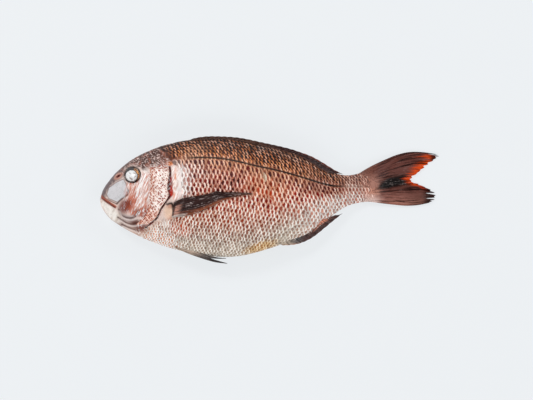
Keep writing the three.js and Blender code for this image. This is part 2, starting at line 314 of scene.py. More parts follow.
def flank_bands(x, y):
    """At each place on a flank: the dark of a scale's base, partly its own colour and partly painted
    shade, its flesh colour, and its light rim, partly a painted highlight.
    """
    # The two lowest levels are lighter than the belly's own pale colour: painted light where the underside
    # turns away from the lamps.
    levels = (-1.0, -0.85, -0.65, -0.45, -0.25, -0.08, 0.10, 0.50, 1.0)
    dark = (
        (172, 148, 128), (142, 104, 88), (150, 64, 42), (140, 36, 18),
        (132, 32, 18), (92, 28, 16), (52, 16, 8), (38, 16, 10), (40, 26, 20),
    )
    flesh = (
        (222, 206, 188), (206, 184, 166), (218, 168, 146), (218, 148, 120),
        (210, 130, 104), (184, 108, 82), (116, 62, 40), (70, 39, 27),
        (66, 44, 36),
    )
    light = (
        (248, 240, 226), (242, 234, 224), (248, 234, 224), (250, 226, 212),
        (246, 206, 186), (240, 186, 156), (236, 156, 98), (204, 130, 84),
        (124, 84, 66),
    )
    middle = height_along(LATERAL_LINE, x)
    share = np.linspace(0, 1, 300)
    back_x, back_y, belly_x, belly_y, _, _ = section(share)
    back = np.interp(x, back_x, back_y)
    belly = np.interp(x, belly_x, belly_y)
    level = np.where(y > middle, (y - middle) / (back - middle), (y - middle) / (middle - belly))
    level = np.where(level < 0, level * (1 + 0.45 * step_up(-10, 90, x)), level)
    level = np.clip(level + 0.13 * ripple(x, y, 12, 8) * step_up(0.05, 0.4, level), -1, 1)
    bands = [graded(level, levels, tones) for tones in (dark, flesh, light)]
    above = step_up(-0.05, 0.08, level)
    below_line = 0.7 * np.exp(-(((y - middle + 3) / 5) ** 2)) * step_up(-98, -80, x)
    # Each row: how far it covers, then the colours of a scale's base, flesh and rim.
    places = (
        (step_up(-0.35, -0.7, level) * step_up(10, 60, x),
         (190, 128, 108), (224, 204, 194), (246, 242, 238)),
        (below_line, (92, 34, 18), (178, 110, 78), (234, 174, 134)),
        (oval(x, y, (-42, 16), (34, 20), -0.15) * np.clip(0.65 + 0.6 * ripple(x, y, 9, 61), 0, 1),
         (70, 14, 8), (168, 92, 76), (240, 186, 168)),
        (0.8 * oval(x, y, (-94, -31), (20, 10), -0.3),
         (192, 82, 52), (238, 188, 168), (255, 244, 234)),
        (0.75 * oval(x, y, (-80, 24), (24, 28), 0.2),
         (104, 30, 20), (194, 128, 110), (255, 236, 226)),
        (0.8 * oval(x, y, (-2, 13), (34, 17), -0.25),
         (156, 58, 30), (214, 134, 102), (240, 188, 154)),
        (0.95 * patch(x - 4 * ripple(x * 0.4, y, 7, 51), y, SHOULDER, 6.5),
         (216, 150, 132), (250, 238, 234), (255, 255, 255)),
        (0.95 * oval(x, y, (-110, -24), (10, 5), -0.5),
         (232, 200, 184), (250, 236, 226), (255, 252, 248)),
        (0.95 * oval(x, y, (-121, -40), (38, 17), -0.4),
         (222, 142, 104), (255, 244, 234), (255, 255, 255)),
        (0.8 * above * step_up(5, 50, x),
         (44, 18, 12), (122, 72, 54), (208, 146, 112)),
        (0.85 * oval(x, y, (58, 14), (36, 11), -0.1),
         (72, 26, 16), (146, 84, 66), (204, 150, 130)),
        (0.85 * above * step_up(70, 94, x),
         (98, 56, 46), (152, 108, 96), (194, 152, 140)),
        (0.7 * (1 - above) * step_up(72, 94, x),
         (170, 100, 84), (212, 172, 160), (244, 234, 228)),
        (0.85 * oval(x, y, (-8, -50), (26, 8), 0.3),
         (176, 116, 60), (214, 168, 106), (240, 204, 142)),
        (0.7 * oval(x, y, (-37, 57), (9, 8), -0.5),
         (30, 14, 8), (62, 32, 22), (150, 92, 58)),
        (0.7 * oval(x, y, (-80, 49), (20, 11), 0.4),
         (96, 58, 44), (172, 120, 98), (244, 186, 146)),
        (0.85 * oval(x, y, (-5, 26), (3.2, 6.5), 0.2),
         (150, 118, 92), (206, 184, 160), (232, 222, 200)),
    )
    for cover, *tones in places:
        bands = [painted(band, (tone, cover)) for band, tone in zip(bands, tones)]
    return bands


def bare_tint(x, y):
    """The colour of the bare skin of the head, and how freckled, streaked and flecked it is."""
    tint = even_tint(x, 230, 206, 196)
    tint = painted(tint, ((210, 176, 158), step_up(-18, -34, y)))
    chin = step_up(-144, -156, x) * step_up(-8, -20, y)
    tint = painted(tint, ((178, 150, 140), chin))
    cheek = patch(x, y, CHEEK, 3)
    tint = painted(tint,
        ((232, 200, 190), 0.7 * cheek),
        # The two near-white patches on the cheek are painted highlights.
        ((255, 246, 242), 0.95 * oval(x, y, (-133, 20), (8.5, 18), -0.2)),
        ((255, 246, 242), 0.95 * oval(x, y, (-137, 6), (7, 15), -0.4)),
        ((190, 92, 60), 0.85 * oval(x, y, (-146, -3), (15, 9), 1.0)),
        ((106, 42, 34), 0.9 * oval(x, y, (-152.6, -6.5), (12.5, 9), 0.9)),
        ((104, 52, 46), 0.85 * oval(x, y, (-139.5, -14), (9, 6.5), 0.3)),
        ((168, 152, 150), 0.85 * oval(x, y, (-149, -20), (13, 5), -0.3)),
        ((104, 54, 42), 0.95 * oval(x, y, (-138, -27), (15, 8), -0.35)),
        ((140, 70, 52), 0.9 * oval(x, y, (-131, -15), (7, 12), 0.3)))
    brow = patch(x + 2.2 * ripple(x, y, 5, 31), y + 1.6 * ripple(x, y, 4, 32), NAPE, 3.2)
    tint = painted(tint, ((90, 66, 60), brow))
    flush = oval(x, y, (-108, 45), (15, 13), 0.5)
    tint = painted(tint,
        ((134, 84, 70), 0.55 * flush),
        ((108, 92, 94), 0.8 * brow * step_up(-150, -166, x)))
    edge_of_plate = patch(x, y, CHEEK_PLATE, 1.0)
    tint = painted(tint,
        ((104, 84, 84), 0.8 * np.clip(4 * edge_of_plate * (1 - edge_of_plate), 0, 1)),
        ((208, 205, 207), step_up(0.55, 1, edge_of_plate)))
    chin_edge = patch(x + 1.5 * ripple(x, y, 4, 33), y, LOWER_JAW, 2.8)
    chin_tint = painted(even_tint(x, 242, 234, 226), ((206, 186, 172), np.clip(ripple(x, y, 6, 35), 0, 1)))
    tint = mix(tint, chin_tint, chin_edge)
    lip = groove(x, y, ((-179.6, 4.8), (-174, 0.4), (-163, -7.0)), 1.3)
    tint = painted(tint,
        ((170, 90, 68), np.clip(1.2 * lip, 0, 1)),
        # Below, the dark line in the groove over the lip and the dark in the plate crease are painted
        # shade.
        ((96, 58, 50), 0.8 * groove(x, y, LIP_TOP, 0.6)),
        ((112, 44, 28), groove(x, y, MOUTH, 0.8)),
        ((84, 56, 52), 0.95 * groove(x, y, PLATE_CREASE, 0.8)))
    for fold in JAW_FOLDS:
        # Painted shade in each jaw fold, and a painted highlight along its lower side.
        tint = painted(tint, ((84, 52, 46), 0.9 * groove(x, y, fold, 0.9)))
        fold_highlight = [(fold_x + 0.8, fold_y - 2.0) for fold_x, fold_y in fold]
        tint = painted(tint, ((232, 216, 210), 0.75 * groove(x, y, fold_highlight, 0.9)))
    tint = painted(tint,
        ((96, 82, 82), 0.8 * oval(x, y, NOSTRIL, (11, 6), NOSTRIL_TURN)),
        ((222, 160, 138), oval(x, y, NOSTRIL, (7.4, 3.7), NOSTRIL_TURN)),
        ((96, 10, 6), oval(x, y, NOSTRIL, (5.4, 2.2), NOSTRIL_TURN)))
    from_eye = np.hypot(x - EYE_CENTRE[0], y - EYE_CENTRE[1])
    tint = painted(tint,
        ((46, 38, 40), np.exp(-(((from_eye - SOCKET_RING) / 0.75) ** 2))),
        ((255, 246, 240), patch(x, y, SHOULDER, 3)))
    slit, along = line_distance(x, y, GILL_SLIT)
    gape = slit_width(along)
    seam = groove(x, y, SEAM, 1.0)
    broken = np.clip(0.55 + 0.6 * ripple(x * 0.3, y, 6, 34), 0.15, 1)
    tint = painted(tint,
        ((226, 112, 24), seam * broken),
        ((232, 130, 60), 0.9 * oval(x, y, (-104.5, 38.5), (5, 3.4), 0.2)),
        ((104, 20, 10), np.exp(-((slit / (gape + 0.3)) ** 6))))
    blood = oval(x, y, (-102.6, 9), (2.6, 9), 0.05) + 0.7 * oval(x, y, (-103.4, 22), (1.6, 5), 0)
    inside_slit = np.exp(-((slit / (gape + 0.5)) ** 6))
    tint = painted(tint,
        ((206, 30, 8), np.clip(blood, 0, 1) * inside_slit),
        ((84, 44, 38), 0.8 * oval(x, y, (-105.8, 14), (2.4, 6.5), 0) * inside_slit),
        ((240, 204, 180), oval(x, y, FIN_ROOT, (9, 13), 0.25)),
        ((176, 112, 90), 0.7 * oval(x, y, (-104, -6), (6, 4), 0.3)),
        # Painted shade in the pleat at the fin's root.
        ((36, 16, 13), groove(x, y, FIN_PLEAT, 1.2)))
    freckles = patch(x, y, FRECKLED, 2.5)
    freckles = freckles * (1 - 0.45 * step_up(-22, -32, y) * step_up(-124, -132, x))
    blush = oval(x, y, (-151, -6), (15, 12), 0.9)
    streaks = np.clip(cheek * (1 - 0.6 * blush) + 0.8 * patch(x, y, SHOULDER, 3) * (1 - seam), 0, 1)
    flecks = np.clip(brow * step_up(-168, -150, x) + 0.8 * flush, 0, 1)
    return tint, {"freckles": freckles, "streaks": streaks, "flecks": flecks}


def grid_faces(rows, columns, closed=False, v=(0, 1)):
    """Four-sided faces over a grid of points and their places on a flat map."""
    across = columns if closed else columns - 1
    i, j = np.meshgrid(np.arange(rows - 1), np.arange(across), indexing="ij")
    i, j = i.ravel(), j.ravel()
    turns = ((0, 0), (0, 1), (1, 1), (1, 0))
    faces = np.stack([(i + a) * columns + (j + b) % columns for a, b in turns], axis=1)
    places = [((i + a) / (rows - 1), (j + b) / across) for a, b in turns]
    flat = np.stack([np.stack((p, v[0] + (v[1] - v[0]) * q), axis=1) for p, q in places], axis=1)
    return faces, flat


def make_piece(name, points, faces, flat, tints, amounts, material):
    """A smooth mesh from points in mm, with its colours and amounts kept on its points."""
    mesh = bpy.data.meshes.new(name)
    mesh.from_pydata((np.asarray(points) * MM).tolist(), [], [list(face) for face in faces])
    layer = mesh.uv_layers.new(name="OFBake")
    layer.data.foreach_set("uv", np.concatenate([np.asarray(f, float).ravel() for f in flat]))
    for label, colours in tints.items():
        made = mesh.attributes.new(label, "FLOAT_COLOR", "POINT")
        rgba = np.ones((len(points), 4), np.float32)
        rgba[:, :3] = colours
        made.data.foreach_set("color", rgba.ravel())
    for label, values in amounts.items():
        made = mesh.attributes.new(label, "FLOAT", "POINT")
        made.data.foreach_set("value", np.asarray(values, np.float32).ravel())
    mesh.polygons.foreach_set("use_smooth", np.ones(len(mesh.polygons), bool))
    mesh.materials.append(material)
    mesh.validate()
    piece = bpy.data.objects.new(name, mesh)
    bpy.context.scene.collection.objects.link(piece)
    return piece


class Finish:
    """A material under construction: its node tree, its shader and short ways to add nodes."""

    def __init__(self, name):
        self.material = bpy.data.materials.new(name)
        self.material.use_nodes = True
        self.tree = self.material.node_tree
        self.shader = self.tree.nodes["Principled BSDF"]

    def put(self, value, socket):
        if isinstance(value, bpy.types.NodeSocket):
            self.tree.links.new(value, socket)
        else:
            socket.default_value = value

    def give(self, label, value):
        self.put(value, self.shader.inputs[label])

    def gloss(self, coat, coat_roughness, specular=0.5):
        self.shader.inputs["Coat Weight"].default_value = coat
        self.shader.inputs["Coat Roughness"].default_value = coat_roughness
        self.shader.inputs["Specular IOR Level"].default_value = specular

    def add(self, kind, *values, **settings):
        """A new node with its settings, and its first inputs filled in order."""
        node = self.tree.nodes.new("ShaderNode" + kind)
        for label, setting in settings.items():
            setattr(node, label, setting)
        for value, socket in zip(values, node.inputs):
            self.put(value, socket)
        return node

    def colour_of(self, label):
        return self.add("Attribute", attribute_name=label).outputs["Color"]

    def amount_of(self, label):
        return self.add("Attribute", attribute_name=label).outputs["Fac"]

    def place(self, turn=0.0, stretch=(1, 1, 1)):
        """Places on the piece, in mm, turned about the vertical and stretched."""
        where = self.add("TexCoord").outputs["Object"]
        node = self.add("Mapping", where, vector_type="TEXTURE")
        node.inputs["Rotation"].default_value = (0, 0, turn)
        node.inputs["Scale"].default_value = [MM * s for s in stretch]
        return node.outputs["Vector"]

    def noise(self, place, size, detail=3.0):
        node = self.add("TexNoise", place)
        node.inputs["Scale"].default_value = 1 / size
        node.inputs["Detail"].default_value = detail
        return node.outputs["Fac"]

    def from_dots(self, place, size, evenness=0.4):
        """Distance from scattered dots that are about that far apart, in shares of it."""
        node = self.add("TexVoronoi", place)
        node.inputs["Scale"].default_value = 1 / size
        node.inputs["Randomness"].default_value = 1 - evenness
        return node.outputs["Distance"]

    def maths(self, kind, first, second=0.0, third=0.0):
        return self.add("Math", first, second, third, operation=kind).outputs["Value"]

    def times(self, first, second):
        return self.maths("MULTIPLY", first, second)

    def between(self, value, low, high, start=0.0, end=1.0):
        """Start where the value is at low, end where it is at high, smooth between."""
        node = self.add("MapRange", value, low, high, start, end, interpolation_type="SMOOTHSTEP")
        return node.outputs["Result"]

    def blend(self, first, second, share):
        node = self.add("Mix", share, data_type="RGBA", clamp_factor=True)
        colours = [socket for socket in node.inputs if socket.type == "RGBA"]
        self.put(first, colours[0])
        self.put(second, colours[1])
        return [socket for socket in node.outputs if socket.type == "RGBA"][0]

    def shaded(self, colour, tone):
        """A colour made darker or lighter by a tone."""
        return self.blend((0, 0, 0, 1), colour, tone)

    def join(self, x, y, z=0.0):
        return self.add("CombineXYZ", x, y, z).outputs["Vector"]

    def bump(self, height, depth, before=None):
        node = self.add("Bump")
        node.inputs["Distance"].default_value = depth * MM
        self.put(height, node.inputs["Height"])
        if before is not None:
            self.put(before, node.inputs["Normal"])
        return node.outputs["Normal"]


def solid(red, green, blue):
    return (*paint(red, green, blue).tolist(), 1.0)


def bare_skin_finish():
    """Wet bare skin: its own tint, brown-red freckles with painted highlight dots between them, leaning
    streaks, painted silver glints where it is flecked, and a slimy coat.
    """
    skin = Finish("wet_bare_skin")
    tint = skin.colour_of("tint")
    freckled, streaked, flecked = (skin.amount_of(n) for n in ("freckles", "streaks", "flecks"))
    place = skin.place()
    leaning = skin.place(math.radians(42), (1.0, 1.6, 1.3))
    from_dot = skin.from_dots(leaning, 1.8)
    from_dot = skin.maths("MULTIPLY_ADD", skin.noise(place, 2.0, 2.0), 0.5, from_dot)
    # Pale dots between the freckles: painted highlights.
    pale = skin.times(skin.between(from_dot, 0.80, 1.0), 0.85)
    tint = skin.blend(tint, solid(255, 248, 244), skin.times(pale, freckled))
    spots = skin.between(from_dot, 0.72, 0.54)
    spots = skin.times(spots, skin.between(skin.noise(place, 6, 1.0), 0.26, 0.52, 0.6, 1.0))
    tint = skin.blend(tint, solid(150, 54, 24), skin.times(spots, freckled))
    combed = skin.noise(skin.place(STREAK_TURN, (10.0, 1.0, 2.0)), 1.1, 2.5)
    pink = skin.times(skin.between(combed, 0.46, 0.60), streaked)
    tint = skin.blend(tint, solid(194, 104, 76), skin.times(pink, 0.85))
    white = skin.times(skin.between(combed, 0.46, 0.36), streaked)
    tint = skin.blend(tint, solid(255, 250, 250), skin.times(white, 0.8))
    # Silver flecks where the skin is flecked: painted glints.
    crossed = skin.noise(skin.place(-0.5, (2.8, 1.0, 1.5)), 1.1, 2.0)
    silver_glints = skin.times(skin.between(crossed, 0.52, 0.64), flecked)
    tint = skin.blend(tint, solid(222, 196, 188), skin.times(silver_glints, 0.9))
    rust = skin.times(skin.between(crossed, 0.48, 0.34), flecked)
    tint = skin.blend(tint, solid(72, 40, 32), rust)
    warm = skin.between(skin.noise(place, 5.0, 2.0), 0.50, 0.66)
    tint = skin.blend(tint, solid(168, 100, 78), skin.times(warm, skin.times(flecked, 0.5)))
    fine = skin.noise(place, 1.1, 4.0)
    wide = skin.noise(place, 5.5, 3.0)
    shade = skin.between(skin.maths("ADD", fine, wide), 0.75, 1.25, 0.82, 1.14)
    tint = skin.blend(tint, skin.shaded(tint, shade), 0.9)
    skin.give("Base Color", tint)
    skin.give("Roughness", skin.between(wide, 0.3, 0.7, 0.26, 0.46))
    ridges = skin.times(combed, streaked)
    pores = skin.bump(skin.maths("MULTIPLY_ADD", ridges, 1.5, fine), 0.35)
    skin.give("Normal", skin.bump(skin.noise(place, 0.45, 2.0), 0.12, pores))
    skin.gloss(coat=0.15, coat_roughness=0.12, specular=0.2)
    return skin.material


FLANK_STEPS = 150
STALK_X = 110.0
head_stations = np.arange(-179.9, -86, 0.75)
trunk_stations = np.arange(-86, STALK_X, 2.0)
shares = np.linspace(0, 1, 4000)
fine_sections = section(shares)
axis_x = (fine_sections[0] + fine_sections[2]) / 2
ring_shares = np.interp(np.concatenate((head_stations, trunk_stations, [STALK_X])), axis_x, shares)
ring_shares[0] = 0
levels = (1 + np.cos(np.linspace(0, math.pi, 241))) / 2


def flank_ring(share, side):
    """Evenly spaced points of one flank's section, from back to belly."""
    back_x, back_y, belly_x, belly_y, half, mid = section(np.array([share]))
    x = belly_x + (back_x - belly_x) * levels
    y = belly_y + (back_y - belly_y) * levels
    z = flank_surface(mid, half, fullness(levels), side)
    points = np.stack((x, y, z), axis=1)
    length = np.concatenate(([0], np.cumsum(np.linalg.norm(np.diff(points, axis=0), axis=1))))
    even = np.linspace(0, length[-1], FLANK_STEPS + 1)
    return np.stack([np.interp(even, length, points[:, k]) for k in range(3)], axis=1)


rings = []
for share in ring_shares:
    up = flank_ring(share, LEFT)
    down = flank_ring(share, RIGHT)
    rings.append(np.concatenate((up[:-1], down[::-1][:-1])))
rings = np.array(rings)
around = np.roll(rings, -1, axis=1) - np.roll(rings, 1, axis=1)
forward = np.gradient(rings, axis=0)
outward = np.cross(around, forward)
outward /= np.maximum(np.linalg.norm(outward, axis=2, keepdims=True), 1e-9)
left_side = np.arange(rings.shape[1]) <= FLANK_STEPS
if outward[150, FLANK_STEPS // 2, 2] < 0:
    outward = -outward
x, y, z = rings[..., 0], rings[..., 1], rings[..., 2]


def scale_front(y):
    """The x at which the scales begin, for each height on the flank."""
    heights = (-62, -50, -40, -33, -28, -24, -20, -12, -4, 30, 40, 46, 56, 68)
    fronts = (-124, -136, -138, -131, -126, -120, -108, -99, -96, -96, -101, -107, -116, -124)
    return np.interp(y, heights, fronts) + 1.8 * np.sin(y * 0.9) * step_up(38, 44, y)


under_scales = step_up(1, 6, x - scale_front(y))
relief = head_relief(x, y) * (1 - 0.75 * under_scales) - 0.32 * under_scales
snout_fade = step_up(0, 5, x - x.min())
relief = relief * np.where(left_side, 1.0, 0.55 * step_up(REST_GAP + 1.2, REST_GAP + 5, z)) * snout_fade
rings = rings + outward * relief[..., None]
rings[..., 2] = np.maximum(rings[..., 2], 0.15)
END_RINGS = 6
end_point = np.array(TAIL_STALK_END, float)
for k in range(1, END_RINGS):
    run = k / END_RINGS
    ring = end_point + (rings[len(ring_shares) - 1] - end_point) * math.sqrt(1 - run * run)
    ring[:, 0] = rings[len(ring_shares) - 1][:, 0] + run * (end_point[0] - STALK_X)
    rings = np.concatenate((rings, ring[None]))
x, y, z = rings[..., 0], rings[..., 1], rings[..., 2]
bare, marks = bare_tint(x, y)
trunk_tint = flank_bands(x, y)[1]
scaled = step_up(-1.5, 3, x - scale_front(y))
tint = mix(bare, trunk_tint, scaled)
tint = mix(tint, paint(172, 124, 110), step_up(102, 112, x))
count = rings.shape[1]
faces, flat = grid_faces(len(rings), count, closed=True, v=(0.02, 1))
points = rings.reshape(-1, 3)
snout = len(points)
points = np.concatenate((points, [rings[0].mean(axis=0)], [end_point]))
all_faces = faces.tolist()
all_flat = [flat]
last = (len(rings) - 1) * count
for j in range(count):
    k = (j + 1) % count
    all_faces.append([snout, k, j])
    all_faces.append([snout + 1, last + j, last + k])
    turn = 2 * math.pi * j / count
    bit = 0.004 * np.array([math.cos(turn), math.sin(turn)])
    next_turn = 2 * math.pi * (j + 1) / count
    next_bit = 0.004 * np.array([math.cos(next_turn), math.sin(next_turn)])
    for middle in (0.2, 0.6):
        centre = np.array([middle, 0.008])
        all_flat.append(np.array([centre, centre + next_bit, centre + bit]))
tints = np.concatenate((tint.reshape(-1, 3), [tint[0, 0]], [tint[-1, 0]]))
amounts = {name: np.concatenate(((mark * (1 - scaled)).ravel(), [0, 0])) for name, mark in marks.items()}
bare_skin = bare_skin_finish()
skin = make_piece("skin", points, all_faces, all_flat, {"tint": tints}, amounts, bare_skin)
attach(skin, "root")
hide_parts("body")

# ----------------------------------------
# Scales: over a thousand bony plates on each flank, in overlapping rows from the nape to the tail.
# Each one is rooted in the skin at its front and lifts at its round rear rim. The row along the
# lateral line carries a small tube each. Rows run with that line and lean more towards the back.
ABOVE_PITCH, BELOW_PITCH = 4.0, 5.5
ABOVE_SPACING, BELOW_SPACING = 3.9, 4.66
CROWDING = 0.009
ROW_START, ROW_MIDDLE = -150.0, -40.0
SCALE_ACROSS, SCALE_ALONG = 8, 6
FLANK_REACH = 60
HALF_WIDTH, TO_FRONT, TO_TIP, RIM_ROUND = 1.05, 1.05, 0.55, 0.52
LIFT_TO_RIM, SUNK_FRONT, SUNK_SIDES, RIM_THICKNESS = 0.085, 0.12, 0.11, 0.42
TUBE_HEIGHT, TUBE_WIDTH = 0.28, 0.10
LEAST_HEIGHT = 0.04
table_x = np.arange(-134, 119, 1.0)
table_q = np.arange(-140, 62, 0.5)


def flank_table(side):
    """Flank points by x and by distance from the lateral line, positive towards the back."""
    chosen = (1 + np.cos(np.linspace(0, math.pi, 241))) / 2
    places = np.empty((len(table_x), len(table_q), 3))
    reach = np.empty((len(table_x), 2))
    for row, at in enumerate(table_x):
        low, high = np.zeros(len(chosen)), np.ones(len(chosen))
        for _ in range(30):
            share = (low + high) / 2
            back_x, back_y, belly_x, belly_y, half, mid = section(share)
            reached = belly_x + (back_x - belly_x) * chosen
            low = np.where(reached < at, share, low)
            high = np.where(reached < at, high, share)
        y = belly_y + (back_y - belly_y) * chosen
        near = flank_surface(mid, half, fullness(chosen), side)
        far = flank_surface(mid, half, fullness(chosen), -side)
        over, under = slice(FLANK_REACH, 0, -1), slice(-2, -FLANK_REACH, -1)
        ys = np.concatenate((y[over], y, y[under]))
        zs = np.concatenate((far[over], near, far[under]))
        run = np.concatenate(([0], np.cumsum(np.hypot(np.diff(ys), np.diff(zs)))))
        own = slice(FLANK_REACH, FLANK_REACH + len(chosen))
        middle = np.interp(height_along(LATERAL_LINE, at), y[::-1], run[own][::-1])
        q = middle - run
        places[row, :, 0] = at
        places[row, :, 1] = np.interp(table_q, q[::-1], ys[::-1])
        places[row, :, 2] = np.interp(table_q, q[::-1], zs[::-1])
        reach[row] = q[own][0], q[own][-1]
    along_x, along_q = np.gradient(places, axis=0), np.gradient(places, axis=1)
    normal = np.cross(along_x, along_q) * side
    normal /= np.maximum(np.linalg.norm(normal, axis=2, keepdims=True), 1e-9)
    return places, normal, reach


def sample(table, x, q):
    """Reads a table between its rows and columns."""
    across = np.clip((x - table_x[0]), 0, len(table_x) - 1.001)
    down = np.clip((q - table_q[0]) * 2, 0, len(table_q) - 1.001)
    i, j = across.astype(int), down.astype(int)
    a, b = (across - i)[..., None], (down - j)[..., None]
    near = table[i, j] * (1 - b) + table[i, j + 1] * b
    far = table[i + 1, j] * (1 - b) + table[i + 1, j + 1] * b
    return near * (1 - a) + far * a


def lean(q):
    """The angle of a scale's axis, from its distance to the lateral line."""
    up = math.radians(14) + math.radians(24) * step_up(0, 18, q)
    down = math.radians(9) * (1 - step_up(0, 25, -q)) - math.radians(11) * step_up(25, 60, -q)
    return np.where(q > 0, up, down)


def scale_rows():
    """Centre x and q, spacing, pitch and row number of every scale on a flank."""
    q_line = np.linspace(-130, 60, 761)
    drift = -np.concatenate(([0], np.cumsum(np.tan(lean(q_line[:-1])) * np.diff(q_line))))
    drift -= np.interp(0, q_line, drift)
    found = []
    for row in range(-36, 13):
        above = row > 0
        closer = 1.0 if row > -9 else 0.88 if row > -16 else 0.76
        spacing = ABOVE_SPACING if above else BELOW_SPACING * closer
        before = math.floor((ROW_MIDDLE - ROW_START) / spacing)
        x = ROW_MIDDLE - (before + (0 if row % 2 else 0.5)) * spacing
        while x < 116:
            thin = 1 - 0.24 * step_up(20, 105, x) - 0.14 * step_up(-72, -106, x)
            if above:
                pitch = ABOVE_PITCH * (1 - 0.08 * step_up(20, 105, x))
                q = (row - 0.1) * pitch
            else:
                pitch = BELOW_PITCH * (1 - 0.33 * step_up(0, 100, x) - 0.14 * step_up(-70, -108, x))
                q = (row + CROWDING * row * row) * pitch
                pitch = pitch * (1 + 2 * CROWDING * row)
            found.append((x + np.interp(q, q_line, drift), q, spacing * thin, pitch, row))
            x += spacing * thin
    return np.array(found)


def wet_scale_finish():
    """A wet scale: dark red-brown where the next one shades it, partly its own colour and partly painted
    shade; pale along its rim, partly a painted highlight, with painted white glints; with growth lines.
    """
    scale = Finish("wet_scale")
    base, flesh, rim = (scale.colour_of(label) for label in ("base", "flesh", "rim"))
    edge, across, shade = (scale.amount_of(label) for label in ("edge", "across", "shade"))
    place = scale.place()
    wander = scale.maths("SUBTRACT", scale.noise(place, 1.4, 3.0), 0.5)
    patchy = scale.noise(place, 9.0, 2.0)
    line = scale.maths("ABSOLUTE", scale.maths("MULTIPLY_ADD", wander, 0.8, scale.amount_of("from_line")))
    beside = scale.between(line, 0.6, 2.6)
    depth = scale.maths("MULTIPLY_ADD", wander, 0.45, edge)
    side = scale.maths("ABSOLUTE", scale.maths("MULTIPLY_ADD", wander, 0.45, across))
    # The dark base: partly the scale's own colour, partly painted shade from the scale lying over it.
    dark_base_and_shade = scale.times(scale.between(depth, 0.34, 0.46), scale.between(side, 0.80, 0.50))
    dark_base_and_shade = scale.times(dark_base_and_shade, scale.between(patchy, 0.30, 0.54, 0.62, 1.0))
    colour = scale.blend(flesh, base, scale.times(dark_base_and_shade, beside))
    # The pale rim stroke: partly the rim's own colour, partly a painted highlight on the middle of the
    # rim, a little off centre.
    raised = scale.maths("SUBTRACT", across, 0.06)
    upper = scale.maths("ABSOLUTE", scale.maths("MULTIPLY_ADD", wander, 0.35, raised))
    pale_rim_and_highlight = scale.times(scale.between(depth, 0.42, 0.24), scale.between(upper, 0.66, 0.34))
    pale_rim_and_highlight = scale.times(pale_rim_and_highlight, scale.between(shade, 0.0, 0.7, 0.52, 1.0))
    colour = scale.blend(colour, rim, pale_rim_and_highlight)
    # Painted glints: near-white on the rims of some scales.
    glint = scale.times(pale_rim_and_highlight, scale.between(shade, 0.40, 1.0, 0.0, 0.6))
    glint = scale.times(glint, scale.amount_of("glint_strength"))
    colour = scale.blend(colour, solid(255, 248, 240), glint)
    rays = scale.maths("SINE", scale.times(across, 26.0))
    fine = scale.noise(place, 0.9, 3.0)
    tone = scale.maths("MULTIPLY_ADD", rays, 0.05, scale.between(fine, 0.3, 0.7, 0.80, 1.14))
    tone = scale.times(tone, scale.between(shade, 0.0, 1.0, 0.80, 1.16))
    # Darker along the lateral line.
    line_darkening = scale.times(scale.between(line, 1.35, 0.75), scale.amount_of("line_darkness"))
    tone = scale.times(tone, scale.maths("MULTIPLY_ADD", line_darkening, -0.98, 1.0))
    colour = scale.shaded(colour, tone)
    scale.give("Base Color", colour)
    scale.give("Roughness", scale.between(fine, 0.3, 0.7, 0.18, 0.36))
    rings = scale.maths("SINE", scale.times(edge, 40.0))
    grown = scale.maths("MULTIPLY_ADD", rings, 0.25, fine)
    scale.give("Normal", scale.bump(grown, 0.14))
    scale.gloss(coat=0.13, coat_roughness=0.08, specular=0.16)
    return scale.material


def stalk_tint(y):
    """The colour where the stalk passes into the tail fin, from its lower edge to its upper one."""
    return graded(y, (0, 8, 20, 30), ((222, 190, 180), (206, 146, 126), (178, 128, 114), (122, 80, 70)))


